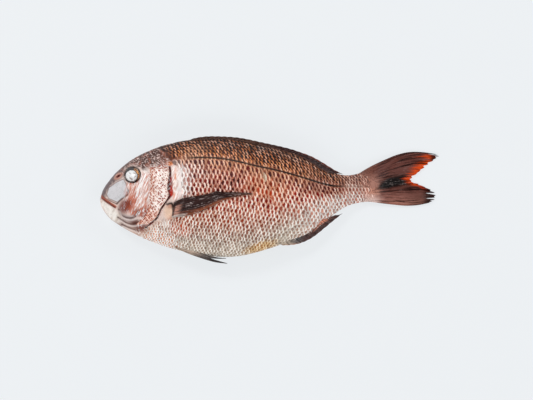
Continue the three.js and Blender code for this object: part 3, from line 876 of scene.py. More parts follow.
def scale_flank(name, side, seed, material):
    """Lays every scale of a flank and joins them in one piece."""
    dice = np.random.default_rng(seed)
    places, normals, reach = flank_table(side)
    found = scale_rows()
    x, q, spacing, pitch, row = found.T
    top = np.interp(x, table_x, reach[:, 0])
    bottom = np.interp(x, table_x, reach[:, 1])
    middle = sample(places, x, q)
    kept = (q < top - 0.5) & (q > bottom + 1.0)
    kept &= x < 112 - 9 * dice.uniform(0, 1, len(x)) ** 2
    kept &= x > scale_front(middle[:, 1]) + 0.5 * spacing
    x, q, spacing, pitch, row = found[kept].T
    number = len(x)
    off_row = np.abs(row) > 0.5
    x = x + dice.normal(0, 0.34, number)
    q = q + dice.normal(0, 0.26, number) * off_row
    turn = lean(q) + dice.normal(0, 0.05, number)
    spread = np.linspace(-1, 1, SCALE_ACROSS + 1)[None, :, None]
    along = np.linspace(0, 1, SCALE_ALONG + 1)[None, None, :]
    half_width = (pitch * HALF_WIDTH)[:, None, None]
    period = spacing[:, None, None]
    tip = period * (TO_TIP + dice.normal(0, 0.035, number))[:, None, None]
    rim_a = tip - RIM_ROUND * period * spread**2
    front_a = -TO_FRONT * period + 0 * spread
    bent = 1 - (1 - along) ** 1.25
    a = front_a + (rim_a - front_a) * bent
    b = half_width * spread * (0.82 + 0.18 * along)
    lift = LIFT_TO_RIM * (a + TO_FRONT * period) - SUNK_FRONT - SUNK_SIDES * spread**2
    lift = lift + 0.07 * np.sin(math.pi * along) + dice.normal(0, 0.03, number)[:, None, None] * along
    pored = (np.abs(row) < 0.5)[:, None, None]
    tube = np.exp(-((spread / TUBE_WIDTH) ** 2)) * pored
    lift = lift + TUBE_HEIGHT * tube * step_up(0.25, 0.6, along)
    fallen = np.concatenate((lift, lift[:, :, -1:] - RIM_THICKNESS), axis=2)
    a = np.concatenate((a, a[:, :, -1:] - 0.02), axis=2)
    b = np.concatenate((b, b[:, :, -1:]), axis=2)
    cosine, sine = np.cos(turn)[:, None, None], np.sin(turn)[:, None, None]
    at_x = x[:, None, None] + a * cosine - b * sine
    at_q = q[:, None, None] + a * sine + b * cosine
    points = sample(places, at_x, at_q) + sample(normals, at_x, at_q) * fallen[..., None]
    points[..., 2] = np.maximum(points[..., 2], LEAST_HEIGHT)
    steps = SCALE_ALONG + 2
    whole = np.broadcast_to(spread, a.shape)
    edge = (rim_a - a) / period
    level = sample(places, x, q)[:, 1]
    base, flesh, rim = flank_bands(x, level)
    plain, _ = bare_tint(x, level)
    # Near the head and on the tail stalk the base is a darker copy and the rim a lighter copy of one tint:
    # painted shade and painted highlight.
    fresh = 0.6 * (1 - step_up(3, 11, x - scale_front(level)))
    base = mix(base, plain * 0.85, fresh)
    flesh = mix(flesh, plain, fresh)
    rim = mix(rim, plain * 1.1, fresh)
    stalk = 0.9 * step_up(94, 108, x)
    root_tint = stalk_tint(level)
    base = mix(base, root_tint * 0.62, stalk)
    flesh = mix(flesh, root_tint, stalk)
    rim = mix(rim, np.minimum(root_tint * 1.45, 1), stalk)
    warm = dice.uniform(0, 1, number)
    uneven = 0.10 + 0.32 * step_up(-32, 0, level)
    base = base * (0.94 + uneven * dice.uniform(-1, 1, number))[:, None]
    flesh = flesh * dice.uniform(0.88, 1.10, number)[:, None]
    rim = mix(rim, rim * np.array((1.10, 0.90, 0.72)), warm * (row > 0))
    per_scale = (SCALE_ACROSS + 1) * steps
    one_faces, one_flat = grid_faces(SCALE_ACROSS + 1, steps)
    tiles = math.ceil(math.sqrt(number))
    order = np.arange(number)
    corner = np.stack((order % tiles, order // tiles), axis=1) / tiles
    faces = (one_faces[None] + (order * per_scale)[:, None, None]).reshape(-1, 4)
    flat = corner[:, None, None, :] + (0.06 + 0.88 * one_flat[None]) / tiles
    tints = {
        label: np.repeat(values, per_scale, axis=0)
        for label, values in (("base", base), ("flesh", flesh), ("rim", rim))
    }
    # How strong the painted glints are, most low on the flank.
    glint_strength = 0.30 + 0.70 * step_up(30, -10, level)
    line_darkness = step_up(-100, -72, x) * (0.94 + 0.06 * ripple(x, 0 * x, 9, 52))
    line_darkness = line_darkness * (1 - 0.7 * step_up(66, 92, x))
    amounts = {
        "edge": edge.ravel(),
        "glint_strength": np.repeat(glint_strength, per_scale),
        "across": whole.ravel(),
        "shade": np.repeat(dice.uniform(0, 1, number), per_scale),
        "from_line": at_q.ravel(),
        "line_darkness": np.repeat(line_darkness, per_scale),
    }
    if side == RIGHT:
        faces, flat = faces[:, ::-1], flat[:, :, ::-1]
    piece = make_piece(name, points.reshape(-1, 3), faces, [flat], tints, amounts, material)
    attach(piece, "root")
    return piece


wet_scale = wet_scale_finish()
scale_flank("scales_left", LEFT, 5, wet_scale)
scale_flank("scales_right", RIGHT, 6, wet_scale)

# ----------------------------------------
# Gill covers: a thin curved bone plate under speckled skin on each side of the head.
# Each one grows from the cheek at its front and ends free behind, over the open red gill slit.
PLATE_ROWS, PLATE_STEPS = 110, 56
PLATE_SUNK, PLATE_STEP, PLATE_FLARE = 0.9, 1.7, 0.9
PLATE_THICKNESS, PLATE_TUCK = 1.4, 3.0
CLEAR_OF_TABLE = 0.1
COVER_FRONT = ((-128, 36), (-126, 30), (-125.4, 18), (-127, 4.5), (-127.8, -8.3), (-132, -18), (-142, -27))
COVER_REAR = (
    (-108, 38.5), (-105.5, 33), (-105.3, 28), (-106.2, 22), (-107.3, 16), (-107.2, 11),
    (-105.9, 6.5), (-107.4, 1.5), (-111.6, -4.6), (-115.2, -10.2), (-119.4, -18.6), (-125.6, -23.8),
    (-133, -30),
)


def gill_plate(name, node, side):
    """A bone plate between the cheek's edge and the slit, lifted towards its free edge."""
    down = np.linspace(0, 1, PLATE_ROWS)
    front = spline(COVER_FRONT, down)
    rear = spline(COVER_REAR, down)
    across = np.linspace(0, 1, PLATE_STEPS)[None, :, None]
    plan = front[:, None, :] + (rear - front)[:, None, :] * across
    x, y = plan[..., 0], plan[..., 1]
    share = np.broadcast_to(across[..., 0], x.shape)
    ends = step_up(0, 0.10, down) * (1 - step_up(0.88, 1, down))
    lift = (PLATE_STEP * step_up(0, 0.16, share) + PLATE_FLARE * share) * ends[:, None] - PLATE_SUNK
    lift = lift + 0.12 * ripple(x, y, 4, 17) + 0.25 * np.sin(y * 0.5 + x * 0.3) * share
    rest = flank_height(x, y, side)
    z = rest + lift * side
    if side == RIGHT:
        z = np.maximum(z, CLEAR_OF_TABLE)
    points = np.stack((x, y, z), axis=-1)
    rim = points[:, -1:].copy()
    rim[..., 0] -= 0.3
    rim[..., 2] -= PLATE_THICKNESS * side
    rim[..., 2] = np.maximum(rim[..., 2], CLEAR_OF_TABLE)
    under = rim.copy()
    under[..., 0] -= PLATE_TUCK
    under[..., 2] = np.maximum(under[..., 2] - 0.4 * side, CLEAR_OF_TABLE)
    points = np.concatenate((points, rim, under), axis=1)
    near_edge = np.zeros(points.shape[:2])
    near_edge[:, :PLATE_STEPS] = step_up(0.86, 1.0, share)
    near_edge[:, PLATE_STEPS:] = 1
    back = np.pad(step_up(0.0, 0.55, share), ((0, 0), (0, 2)), mode="edge")
    plain = mix(paint(206, 150, 128) + 0 * points, paint(252, 232, 222), back)
    plain = mix(plain, paint(222, 160, 136), 0.8 * step_up(-2, -18, points[..., 1]))
    plain = mix(plain, paint(176, 118, 98), 0.8 * step_up(26, 37, points[..., 1]))
    tint = mix(plain, paint(206, 150, 122), 0.35 * near_edge)
    tint[:, PLATE_STEPS:] = paint(112, 20, 16)
    freckles = 1 - 0.6 * near_edge
    marks = {"freckles": freckles.ravel(), "streaks": 0 * freckles.ravel(), "flecks": 0 * freckles.ravel()}
    faces, flat = grid_faces(points.shape[0], points.shape[1])
    if side == LEFT:
        faces, flat = faces[:, ::-1], flat[:, ::-1]
    tints = {"tint": tint.reshape(-1, 3)}
    plate = make_piece(name, points.reshape(-1, 3), faces, [flat], tints, marks, bare_skin)
    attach(plate, "root")
    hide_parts(node)


gill_plate("gill_plate_left", "left_gill_cover", LEFT)
gill_plate("gill_plate_right", "right_gill_cover", RIGHT)

# ----------------------------------------
# Eyes: flattened jelly balls in round sockets, clouded white in a fish some days out of the water.
# A gold-brown iris shows beside the cloudy pupil, in a thin black ring, under a clear wet cover.
EYE_STEPS, EYE_RINGS = 72, 30
PUPIL_SHIFT = (-1.2, -1.5)
EYE_REACH, EYE_DEPTH = 8.7, 5.2
EYE_WRAP = math.radians(125)
LENS_RISE, LENS_EDGE = 0.8, (5.2, 6.4)


def eye_finish():
    """A clouded lens in a gold and black iris, with a painted highlight along the rim beside the gold."""
    eye = Finish("clouded_eye")
    pupil, rim = eye.amount_of("from_pupil"), eye.amount_of("from_middle")
    gold = eye.amount_of("gold")
    place = eye.place()
    cloud = eye.noise(place, 2.4, 4.0)
    milky = eye.blend(solid(232, 231, 230), solid(150, 132, 126), eye.between(cloud, 0.50, 0.66))
    iris = eye.blend(solid(44, 34, 34), solid(150, 84, 44), gold)
    iris = eye.blend(iris, solid(240, 170, 100), eye.times(eye.between(cloud, 0.44, 0.54), gold))
    ring = eye.blend(milky, solid(44, 34, 34), eye.between(pupil, 6.3, 6.6))
    colour = eye.blend(ring, iris, eye.between(pupil, 6.9, 7.1))
    # A painted highlight along the rim beside the gold.
    rim_highlight = eye.times(eye.between(rim, 7.2, 7.5), eye.times(gold, 0.8))
    colour = eye.blend(colour, solid(236, 226, 216), rim_highlight)
    colour = eye.blend(colour, solid(26, 20, 20), eye.between(rim, 7.8, 8.1))
    eye.give("Base Color", colour)
    eye.give("Roughness", eye.between(cloud, 0.3, 0.7, 0.10, 0.30))
    eye.give("Normal", eye.bump(cloud, 0.25))
    eye.gloss(coat=0.8, coat_roughness=0.05)
    return eye.material


clouded_eye = eye_finish()


def eye_ball(name, node, side):
    """A flattened ball with a raised lens over the pupil."""
    low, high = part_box(node)
    centre = np.array(((low.x + high.x) / 2, (low.y + high.y) / 2)) / MM
    outer = (high.z if side == LEFT else low.z) / MM
    rings = np.linspace(0, 1, EYE_RINGS + 1)[1:]
    turns = np.linspace(0, 2 * math.pi, EYE_STEPS, endpoint=False)
    polar = rings * EYE_WRAP
    reach = EYE_REACH * np.sin(polar)
    height = EYE_DEPTH * (np.cos(polar) - 1)
    x = centre[0] + reach[:, None] * np.cos(turns)
    y = centre[1] + reach[:, None] * np.sin(turns)
    from_pupil = np.hypot(x - centre[0] - PUPIL_SHIFT[0], y - centre[1] - PUPIL_SHIFT[1])
    lens = LENS_RISE * (1 - step_up(*LENS_EDGE, from_pupil))
    tilt = (flank_height(x, y, side) - flank_height(centre[:1], centre[1:], side)) * 0.8
    z = outer - 1.0 * side + side * (height[:, None] + lens) + np.clip(tilt, -3, 3)
    if side == RIGHT:
        z = np.maximum(z, CLEAR_OF_TABLE)
    points = np.stack((x, y, z), axis=-1).reshape(-1, 3)
    tip = (centre[0], centre[1], outer - 1.0 * side + side * LENS_RISE)
    points = np.concatenate((points, [tip]))
    from_middle = np.hypot(points[:, 0] - centre[0], points[:, 1] - centre[1])
    pupil = np.hypot(points[:, 0] - centre[0] - PUPIL_SHIFT[0], points[:, 1] - centre[1] - PUPIL_SHIFT[1])
    towards = np.arctan2(points[:, 1] - centre[1], points[:, 0] - centre[0])
    gold = np.clip(np.cos(towards - 0.25) * 1.8 - 0.7, 0, 1)
    faces, _ = grid_faces(EYE_RINGS, EYE_STEPS, closed=True)
    all_faces = faces.tolist() + [[len(points) - 1, j, (j + 1) % EYE_STEPS] for j in range(EYE_STEPS)]
    all_faces = [f[::-1] if (len(f) == 4) == (side == LEFT) else f for f in all_faces]
    disc = np.concatenate([np.repeat(rings, EYE_STEPS), [0]])
    angle = np.concatenate([np.tile(turns, EYE_RINGS), [0]])
    spots = np.stack((0.5 + 0.48 * disc * np.cos(angle), 0.5 + 0.48 * disc * np.sin(angle)), axis=1)
    flat = [spots[face] for face in all_faces]
    amounts = {"from_pupil": pupil, "from_middle": from_middle, "gold": gold}
    ball = make_piece(name, points, all_faces, flat, {}, amounts, clouded_eye)
    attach(ball, "root")
    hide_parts(node)


eye_ball("eye_ball_left", "left_eye", LEFT)
eye_ball("eye_ball_right", "right_eye", RIGHT)

# ----------------------------------------
# Tail fin: a fan of branching bony rays joined by thin wet webs, growing out of the tail stalk.
# The rays stand proud of the web on both faces, the web is split between their tips, and the
# middle of the fin is folded into a dark crease.
TAIL_RAYS = 20
TAIL_COLUMNS, TAIL_STEPS = TAIL_RAYS * 8, 90
RAY_SHARPNESS = 1.6
FIRST_BRANCHING, SECOND_BRANCHING, BRANCHING_LENGTH = 0.38, 0.68, 0.2
# Guide rays from the upper lobe to the lower one, each from the stalk to its tip.
TAIL_GUIDES = (
    ((97, 28.2), (110, 36), (124, 42.6), (138, 48.4), (152, 51.6), (167, 51.4), (181.5, 49.2)),
    ((97, 25), (111, 31), (126, 37.2), (140, 42.6), (154, 46.2), (169, 47.8), (184.5, 46)),
    ((97, 21.6), (110, 24.8), (123, 29.4), (135, 33.6), (147, 36.8), (160, 38.8), (172.5, 38.2)),
    ((97, 18.2), (108, 19.8), (119, 23), (130, 26), (141, 28.6), (151.6, 29.6), (161.5, 29.2)),
    ((97, 14.8), (107, 15.6), (117, 17.6), (127, 19), (136, 20), (145, 20.6), (154.2, 20.8)),
    ((97, 11), (109, 12), (120, 13.8), (131, 15.4), (142, 16.6), (153, 17.2), (164.5, 16.2)),
    ((97, 6.6), (111, 6.8), (124, 7.4), (138, 8.4), (152, 9), (166, 9), (180.5, 7.8)),
    ((97, 2.2), (111, 1.8), (124, 1.4), (138, 1.2), (152, 1.4), (166, 1.8), (180.5, 1.6)),
    ((97, -2), (109, -2), (122, -3.6), (136, -5.2), (149, -6.2), (162, -5.4), (176, -2.4)),
)


def fin_finish(name, lanes):
    """Wet fin skin over rays: its own tint, with darker and lighter threads that run with the rays."""
    fin = Finish(name)
    tint, ray = fin.colour_of("tint"), fin.amount_of("ray")
    across, along = fin.amount_of("across"), fin.amount_of("along")
    lane = fin.join(fin.times(across, float(lanes)), fin.times(along, 2.0))
    thread = fin.noise(lane, 1.0, 4.0)
    place = fin.place()
    mottle = fin.noise(place, 2.2, 3.0)
    opened = fin.amount_of("opened")
    hairs = fin.join(fin.times(across, lanes * 1.7), fin.times(along, 6.0))
    tone = fin.between(thread, 0.40, 0.60, 0.30, 1.80)
    tone = fin.times(tone, fin.between(fin.noise(hairs, 1.0, 1.0), 0.38, 0.62, 0.50, 1.55))
    tone = fin.times(tone, fin.between(ray, 0.0, 1.0, 0.70, 1.34))
    tone = fin.times(tone, fin.between(mottle, 0.3, 0.7, 0.82, 1.16))
    grain = fin.between(fin.noise(place, 1.0, 2.0), 0.38, 0.62, 0.55, 1.5)
    tone = fin.maths("MULTIPLY_ADD", fin.maths("SUBTRACT", tone, grain), opened, grain)
    colour = fin.shaded(tint, tone)
    shine = fin.times(fin.between(fin.noise(hairs, 1.0, 1.0), 0.56, 0.68), fin.between(mottle, 0.40, 0.62))
    shine = fin.times(shine, fin.amount_of("gleam"))
    colour = fin.blend(colour, solid(196, 180, 176), shine)
    fin.give("Base Color", colour)
    fin.give("Roughness", fin.between(thread, 0.3, 0.7, 0.24, 0.44))
    threads = fin.bump(thread, 0.35)
    fin.give("Normal", fin.bump(fin.noise(place, 0.6, 3.0), 0.12, threads))
    fin.gloss(coat=0.1, coat_roughness=0.12, specular=0.15)
    return fin.material


def comb(across, rays, sharpness=1.3):
    """Height of evenly spread rays over the web between them, 0 to 1."""
    return np.abs(np.cos(math.pi * across * rays)) ** sharpness


def branching_comb(across, along, rays):
    """The same for rays that branch twice towards their tips."""
    height = comb(across, rays, RAY_SHARPNESS)
    for branches, start in ((2, FIRST_BRANCHING), (4, SECOND_BRANCHING)):
        branched = comb(across, rays * branches, RAY_SHARPNESS)
        height = height + (branched - height) * step_up(start, start + BRANCHING_LENGTH, along)
    return height


def fin_piece(name, node, middle, half, ray, gleam, tint, material, opened=1.0):
    """A closed sheet around a grid of middle points, half being its half thickness in mm."""
    top, bottom = middle.copy(), middle.copy()
    top[..., 2] += half
    bottom[..., 2] = np.maximum(bottom[..., 2] - half, 0.03)
    top[..., 2] = np.maximum(top[..., 2], bottom[..., 2] + 0.05)
    rows, columns = middle.shape[:2]
    over, over_flat = grid_faces(rows, columns, v=(0, 0.47))
    under, under_flat = grid_faces(rows, columns, v=(0.53, 1))
    number = rows * columns
    under = under[:, ::-1] + number
    under_flat = under_flat[:, ::-1]
    index = np.arange(number).reshape(rows, columns)
    borders = (index[0], index[:, -1], index[-1][::-1], index[:, 0][::-1])
    sides, side_flat = [], []
    for k, border in enumerate(borders):
        low = 0.475 + 0.012 * k
        for m in range(len(border) - 1):
            one, two = border[m], border[m + 1]
            sides.append([two, one, one + number, two + number])
            u, w = m / (len(border) - 1), (m + 1) / (len(border) - 1)
            side_flat.append(np.array([[w, low], [u, low], [u, low + 0.008], [w, low + 0.008]]))
    points = np.concatenate((top.reshape(-1, 3), bottom.reshape(-1, 3)))
    faces = over.tolist() + under.tolist() + sides
    flat = [over_flat, under_flat, *side_flat]
    tints = {"tint": np.concatenate((tint.reshape(-1, 3),) * 2)}
    across, along = np.meshgrid(np.linspace(0, 1, rows), np.linspace(0, 1, columns), indexing="ij")
    marks = {
        "ray": ray, "across": across, "along": along,
        "gleam": gleam + 0 * across, "opened": opened + 0 * across,
    }
    amounts = {label: np.concatenate((values.ravel(),) * 2) for label, values in marks.items()}
    piece = make_piece(name, points, faces, flat, tints, amounts, material)
    piece.data.flip_normals()
    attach(piece, "root")
    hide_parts(node)
    return piece


CREASE_COLOUR = (
    (117, 12.5), (123, 19), (131, 24.5), (146, 27), (158, 25.6), (159, 20.5), (144, 16.5), (130, 12.5),
)
CREASE_FOLD = ((118, 14), (128, 22), (146, 25.5), (157, 24), (157, 19), (138, 15))


def tail_tint(x, y, along, across):
    """Brown-red, pink at the stalk, orange at the torn edges and almost black in the crease, which is
    partly painted shade.
    """
    heights = (-4, 2, 11, 16, 24, 34, 46)
    tones = (
        (170, 116, 102), (146, 98, 88), (98, 62, 56), (92, 58, 52), (96, 62, 56), (108, 70, 64),
        (100, 62, 56),
    )
    fan = graded(y, heights, tones)
    fan = mix(fan, fan * 0.6, step_up(138, 162, x) * step_up(12, 2, y))
    opened = step_up(111, 127, x + 2.5 * ripple(x, y, 5, 41) + 5 * oval(x, y, (118, 32), (14, 8)))
    tint = mix(stalk_tint(y) * 0.97, fan, opened)
    # Nearly black in the crease: the folded web's own dark and painted shade in the fold.
    crease = patch(x, y, CREASE_COLOUR, 2.2)
    tint = painted(tint, ((30, 21, 22), 0.95 * crease))
    lanes = ripple(across * 150, 0 * x, 3, 42) + 0.5 * ripple(across * 340, 0 * x, 3, 43)
    torn = step_up(0.81, 0.98, along + 0.09 * lanes)
    torn = torn * (across < 0.5) * step_up(0.04, 0.12, across) * np.clip(0.85 + 0.5 * lanes, 0.3, 1)
    tint = painted(tint,
        ((232, 84, 34), 0.95 * torn),
        ((232, 84, 34), 0.95 * oval(x, y, (158, 18.2), (13, 3.8), -0.12)),
        ((190, 62, 34), 0.7 * oval(x, y, (168, 12.9), (11, 3.2), -0.45)))
    tips = step_up(164, 173, x) * (across > 0.55)
    tint = painted(tint,
        ((48, 40, 40), 0.85 * tips),
        ((40, 30, 31), 0.9 * step_up(172, 178, x) * (across < 0.2)))
    edge = step_up(0.06, 0.0, across) + step_up(0.95, 1.0, across) * 0.5
    return painted(tint, ((60, 38, 36), 0.7 * np.clip(edge, 0, 1) * step_up(112, 124, x)))


dice = np.random.default_rng(21)
across = np.linspace(0, 1, TAIL_COLUMNS + 1)[:, None]
along = np.linspace(0, 1, TAIL_STEPS + 1)[None, :]
guides = np.array(TAIL_GUIDES, float)
steps_on_guides = np.array([spline(guide, along[0]) for guide in guides])
ray_place = across[:, 0] * TAIL_RAYS
split_depths = dice.uniform(0.01, 0.05, TAIL_RAYS)
split_depths[[1, 15, 17]] = 0.13, 0.12, 0.11
splits = [depth * np.exp(-(((ray_place - k - 0.5) / 0.27) ** 2)) for k, depth in enumerate(split_depths)]
ray_ends = dice.uniform(0.965, 1.01, TAIL_RAYS + 1)
ray_lengths = np.interp(ray_place, np.arange(TAIL_RAYS + 1), ray_ends)
reached = along * (ray_lengths * (1 - np.max(splits, axis=0)))[:, None]
plan = np.empty((TAIL_COLUMNS + 1, TAIL_STEPS + 1, 2))
for j in range(TAIL_STEPS + 1):
    for k in range(2):
        guide_places = np.array([np.interp(reached[:, j], along[0], g[:, k]) for g in steps_on_guides])
        rows_of = np.moveaxis(guide_places, 0, 1)
        plan[:, j, k] = [
            spline(rows_of[c][:, None], np.array([across[c, 0]]))[0, 0] for c in range(TAIL_COLUMNS + 1)
        ]
tail_x, tail_y = plan[..., 0], plan[..., 1]
ray = branching_comb(np.broadcast_to(across, tail_x.shape), reached, TAIL_RAYS)
fleshy = 1 - step_up(104, 132, tail_x)
round_off = np.sqrt(np.clip(1 - (2 * across - 1) ** 4, 0, 1))
half = 0.28 + 3.9 * fleshy * round_off + (0.42 - 0.22 * reached) * ray * step_up(108, 122, tail_x)
wave = 0.5 * np.sin(tail_y * 0.21 + tail_x * 0.05) * step_up(120, 150, tail_x)
height = 4.6 - 3.5 * step_up(104, 176, tail_x) + wave
crease = patch(tail_x, tail_y, CREASE_FOLD, 2.5)
height = height + 0.9 * crease * np.sin(tail_y * 1.1)
height = np.maximum(height, half * 0.9)
tail_skin = fin_finish("wet_tail_fin", 30)
tint = tail_tint(tail_x, tail_y, reached, np.broadcast_to(across, tail_x.shape))
gleam = 0.08 + 0.32 * crease
opened = step_up(110, 124, tail_x)
middle = np.dstack((tail_x, tail_y, height))
fin_piece("tail_fan", "tail_fin", middle, half, ray, gleam, tint, tail_skin, opened)

# ----------------------------------------
# Pectoral fins: one behind each gill slit, a narrow blade of thirteen rays from a fleshy root.
# The fin is folded back along the flank, so its rays lie close and run together to one point.
PECTORAL_RAYS = 13
PECTORAL_COLUMNS, PECTORAL_STEPS = PECTORAL_RAYS * 6, 110
PECTORAL_UPPER = (
    (-104, -4.6), (-90.5, 1.7), (-73, 5), (-62, 7.2), (-54, 9.8), (-50, 8.6), (-36, 8.4),
    (-21, 7.6), (-16.6, 6.6),
)
PECTORAL_LOWER = ((-101, -18.6), (-88, -17), (-76, -14), (-61, -8), (-48, -1.2), (-30, 3.6), (-16.6, 5.4))
PECTORAL_ROOT, PECTORAL_TIP, SHORTER_BY = -101.5, -16.6, 36.0
LIES_ABOVE_FLANK, HIDDEN_FIN_HEIGHT, HIDDEN_FIN_FLATNESS = 0.9, 0.75, 0.6


def pectoral_fin(name, node, side):
    """A folded blade that lies on its flank."""
    across = np.linspace(0, 1, PECTORAL_COLUMNS + 1)[:, None]
    along = np.linspace(0, 1, PECTORAL_STEPS + 1)[None, :]
    ends = PECTORAL_TIP - SHORTER_BY * across
    x = PECTORAL_ROOT + (ends - PECTORAL_ROOT) * along + 2.5 * (0.5 - across) * (1 - along)
    room = np.clip((PECTORAL_TIP + 1.5 - x) / SHORTER_BY, 0.03, 1)
    inside = np.clip(across / room, 0, 1)
    upper, lower = height_along(PECTORAL_UPPER, x), height_along(PECTORAL_LOWER, x)
    y = upper + (lower - upper) * inside
    ray = comb(across, PECTORAL_RAYS) + 0 * x
    half = 0.30 + 0.55 * ray * (1 - 0.6 * along) + 0.5 * (1 - step_up(0, 0.12, along))
    stack = 0.8 * np.sin(math.pi * np.clip(inside, 0, 1)) * (1 - 0.5 * along)
    rest = flank_height(x, y, side)
    if side == LEFT:
        z = rest + LIES_ABOVE_FLANK + stack
    else:
        z = np.full_like(x, HIDDEN_FIN_HEIGHT)
        half = half * HIDDEN_FIN_FLATNESS
    tint = even_tint(x, 62, 42, 40)
    tint = painted(tint,
        ((150, 84, 58), 0.9 * step_up(0.64, 0.92, inside)),
        ((104, 70, 58), 0.8 * step_up(-45, -22, x)),
        ((212, 156, 138), (1 - step_up(-94, -88, x - 0.3 * y)) * step_up(0.22, 0.40, inside)))
    fold = (1 - step_up(-92, -84, x)) * step_up(0.80, 0.92, inside)
    tint = painted(tint,
        ((226, 208, 198), fold),
        ((92, 58, 48), 0.6 * step_up(0.10, 0.0, inside)))
    # A dark line along the fin's root, continuing the painted shade of the pleat.
    root_shade_line = (1 - step_up(0.025, 0.05, along)) * (1 - step_up(0.86, 0.94, inside))
    tint = painted(tint, ((50, 32, 30), 0.85 * root_shade_line))
    fin_piece(name, node, np.dstack((x, y, z)), half, ray, 0.8, tint, pectoral_skin)


pectoral_skin = fin_finish("wet_pectoral_fin", 16)
pectoral_fin("pectoral_blade_left", "left_pectoral_fin", LEFT)
pectoral_fin("pectoral_blade_right", "right_pectoral_fin", RIGHT)

# ----------------------------------------
# Pelvic fins: a pair of short blades under the belly, each of one spine and five soft rays.
# They lie back along the belly with their dark tips drawn out to points.
PELVIC_RAYS = 6


def pelvic_fin(name, node, upper, lower):
    """A pointed blade between two edges, at the height of its node."""
    low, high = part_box(node)
    across = np.linspace(0, 1, PELVIC_RAYS * 6 + 1)[:, None]
    along = np.linspace(0, 1, 61)[None, :]
    one, two = spline(upper, along[0]), spline(lower, along[0])
    plan = one[None] + (two - one)[None] * across[..., None]
    x, y = plan[..., 0], plan[..., 1]
    ray = comb(across, PELVIC_RAYS) + 0 * x
    half = 0.25 + 0.4 * ray * (1 - 0.5 * along) + 0.8 * (1 - step_up(0, 0.3, along))
    z = (low.z + high.z) / 2 / MM + 0.5 * np.sin(along * 3 + across * 2)
    tint = painted(even_tint(x, 206, 182, 164), ((120, 110, 106), step_up(0.30, 0.55, along) + 0 * x))
    tint = painted(tint,
        ((52, 50, 52), step_up(0.55, 0.85, along) * (0.5 + 0.5 * across)),
        ((58, 44, 40), 0.8 * step_up(0.3, 0.0, across) * step_up(0.35, 0.5, along)))
    fin_piece(name, node, np.dstack((x, y, z + 0 * x)), half, ray, 0.6, tint, pelvic_skin)


pelvic_skin = fin_finish("wet_pelvic_fin", 12)
pelvic_fin(
    "pelvic_blade_left", "left_pelvic_fin",
    ((-100, -50), (-84, -52.4), (-68, -58), (-56, -61), (-44.5, -62.4)),
    ((-98, -52), (-86, -56.4), (-72, -60.4), (-58, -62.6), (-44.9, -62.8)),
)
pelvic_fin(
    "pelvic_blade_right", "right_pelvic_fin",
    ((-100, -50), (-84, -52.4), (-70, -59), (-58, -63.6), (-43.4, -67.8)),
    ((-98, -52), (-88, -56.4), (-74, -61.6), (-58, -66.4), (-43.8, -68.2)),
)

# ----------------------------------------
# Dorsal and anal fins: long folded webs on the midline, with hard spines in front and soft rays
# behind. Both are folded down, so the rays lie slanting back along the body, one over the next.
DORSAL_INNER = (
    (-94, 61), (-74, 65.2), (-58, 66.4), (-32, 64.9), (-6, 59.4), (14, 54.4), (28, 48.6), (40, 43.4),
    (52.5, 35.2), (62.8, 29.2), (72, 27.2), (82, 25.2),
)
DORSAL_OUTER = (
    (-93, 61.6), (-88, 63.8), (-80, 65.6), (-72, 67.2), (-58, 68), (-32, 66.6), (-6, 61.4),
    (20, 55.6), (36, 50.6), (47, 46.4), (58, 40.4), (66, 35.4), (73, 31.2), (82, 27),
)
ANAL_INNER = (
    (7, -46.4), (20.4, -45.6), (34, -41.2), (44, -36), (52, -28.4), (57, -22.4), (64, -19.2),
    (71, -16.6), (76, -14.8), (81, -12.8),
)
ANAL_OUTER = (
    (7, -47), (12, -48.2), (24, -48), (35, -46), (48, -39.8), (61, -29.6), (68, -23.8), (75, -18.2),
    (81, -13.2),
)
ROOTED_BY, RAY_POINT = 1.2, 0.35


def folded_fin(name, node, inner, outer, start, stop, rays, slant, tint_of, toward_back, free_from):
    """A folded web from its line on the body to its free edge, with slanting rays."""
    columns, steps = rays * 6, 16
    share = np.linspace(0, 1, columns + 1)[:, None]
    out = np.linspace(0, 1, steps + 1)[None, :]
    x = start + (stop - slant - start) * share + slant * out
    y_in, y_out = height_along(inner, x), height_along(outer, x)
    ray = comb(share, rays) + 0 * x
    share_of_length = np.interp(x, axis_x, shares)
    _, back_y, _, belly_y, _, _ = section(share_of_length)
    edge_y = back_y if toward_back else belly_y
    way = 1 if toward_back else -1
    held = way * np.minimum(way * y_in, way * edge_y - ROOTED_BY)
    y_in = np.where(x < free_from, held, y_in)
    y = y_in + (y_out - y_in) * out
    beyond = np.maximum((y - edge_y) * way, 0)
    on_body = way * np.minimum(way * y, way * edge_y - 0.05)
    z = flank_height(x, on_body, LEFT) + 0.5 - 0.25 * beyond
    half = 0.22 + 0.42 * ray * (1 - 0.55 * out)
    y = y + way * RAY_POINT * ray * step_up(0.7, 1, out)
    middle = np.dstack((x, y, z))
    web = fin_piece(name, node, middle, half, ray, 0.25, tint_of(x, out + 0 * x), folded_skin)
    if not toward_back:
        web.data.flip_normals()


folded_skin = fin_finish("wet_folded_fin", 60)


def dorsal_tint(x, out):
    tint = even_tint(x, 88, 62, 53)
    tint = painted(tint,
        ((62, 42, 41), step_up(-20, 30, x)),
        ((140, 66, 48), 0.8 * step_up(0.72, 1, out) * step_up(20, 50, x)),
        ((110, 70, 54), 0.7 * step_up(0.35, 0.0, out) * step_up(0, 20, x)))
    return painted(tint, ((112, 72, 58), 0.7 * step_up(70, 80, x)))


def anal_tint(x, out):
    tint = even_tint(x, 80, 54, 50)
    tint = painted(tint,
        ((112, 104, 102), 1 - step_up(30, 42, x)),
        ((206, 186, 166), 1 - step_up(18, 32, x)),
        ((196, 140, 110), 0.7 * step_up(0.7, 1, out) * (1 - step_up(26, 40, x))))
    pink = np.exp(-(((x - 58) / 7) ** 2)) * (1 - step_up(0.25, 0.5, out))
    return painted(tint, ((232, 148, 118), 0.95 * pink))


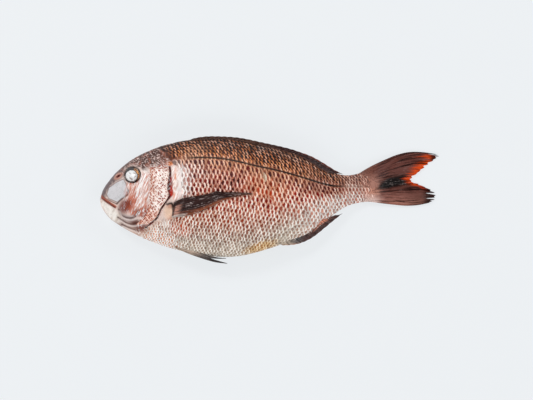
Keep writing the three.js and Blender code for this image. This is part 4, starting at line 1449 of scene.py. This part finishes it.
folded_fin(
    "dorsal_web", "dorsal_fin", DORSAL_INNER, DORSAL_OUTER, -93, 81, 24, 13, dorsal_tint, True, 90,
)
folded_fin(
    "anal_web", "anal_fin", ANAL_INNER, ANAL_OUTER, 8, 80.5, 11, 8, anal_tint, False, 58,
)

# ----------------------------------------
# Table, light and camera: a plain pale table top that glows a little, under four broad soft lamps
# and a pale room that is brightest near the horizon. A long lens looks straight down on the fish.
FLOOR_SIZE = 12.0
VIEW_WIDTH = 0.571
VIEW_CENTRE = (-0.0016, 0.0)
SILHOUETTE_HEIGHT = 0.018


def pale_table_finish():
    """A dull pale top with hardly any grain."""
    table = Finish("pale_table")
    grain = table.noise(table.place(), 40.0, 2.0)
    shade = table.between(grain, 0.2, 0.8, 0.985, 1.0)
    table.give("Base Color", table.shaded((0.14, 0.143, 0.146, 1), shade))
    table.shader.inputs["Emission Color"].default_value = (0.952, 0.985, 1.012, 1)
    table.shader.inputs["Emission Strength"].default_value = 0.74
    table.shader.inputs["Roughness"].default_value = 0.9
    table.shader.inputs["Specular IOR Level"].default_value = 0.0
    return table.material


half_size = FLOOR_SIZE / 2
ways_out = ((-1, -1), (1, -1), (1, 1), (-1, 1))
corners = [(across * half_size, away * half_size, 0) for across, away in ways_out]
floor_mesh = bpy.data.meshes.new("table_top")
floor_mesh.from_pydata(corners, [], [(0, 1, 2, 3)])
floor_mesh.materials.append(pale_table_finish())
floor = bpy.data.objects.new("table_top", floor_mesh)
bpy.context.scene.collection.objects.link(floor)

HORIZON_GLOW, ZENITH_GLOW = 1.0, 0.05
world = bpy.data.worlds.new("pale_room")
world.use_nodes = True
sky = world.node_tree
background = sky.nodes["Background"]
height_of = sky.nodes.new("ShaderNodeSeparateXYZ")
directions = sky.nodes.new("ShaderNodeTexCoord")
glow = sky.nodes.new("ShaderNodeMapRange")
for value, socket in zip((0, 0.30, 0.85, HORIZON_GLOW, ZENITH_GLOW), glow.inputs):
    socket.default_value = value
sky.links.new(directions.outputs["Generated"], height_of.inputs["Vector"])
sky.links.new(height_of.outputs["Z"], glow.inputs["Value"])
sky.links.new(glow.outputs["Result"], background.inputs["Strength"])
background.inputs["Color"].default_value = (0.96, 0.98, 1.0, 1)
bpy.context.scene.world = world


def soft_lamp(name, place, size, power):
    """A broad lamp that faces the middle of the table."""
    light = bpy.data.lights.new(name, "AREA")
    light.shape = "RECTANGLE"
    light.size, light.size_y = size
    light.energy = power
    lamp = bpy.data.objects.new(name, light)
    lamp.location = place
    lamp.rotation_euler = (-Vector(place)).to_track_quat("-Z", "Y").to_euler()
    bpy.context.scene.collection.objects.link(lamp)


soft_lamp("window_lamp", (-1.4, 1.5, 1.9), (0.7, 0.6), 34)
soft_lamp("side_lamp", (1.9, 1.1, 1.7), (1.0, 0.8), 17)
soft_lamp("front_lamp", (-1.3, -1.8, 1.6), (1.2, 1.0), 17)
soft_lamp("fill_lamp", (1.5, -1.7, 1.7), (1.4, 1.2), 15)

camera_data = bpy.data.cameras.new("overhead_camera")
camera_data.lens = 260
camera_data.sensor_width = 36
camera = bpy.data.objects.new("overhead_camera", camera_data)
distance = VIEW_WIDTH * camera_data.lens / camera_data.sensor_width
camera.location = (VIEW_CENTRE[0], VIEW_CENTRE[1], SILHOUETTE_HEIGHT + distance)
bpy.context.scene.collection.objects.link(camera)
bpy.context.scene.camera = camera
bpy.context.scene.view_settings.view_transform = "Standard"
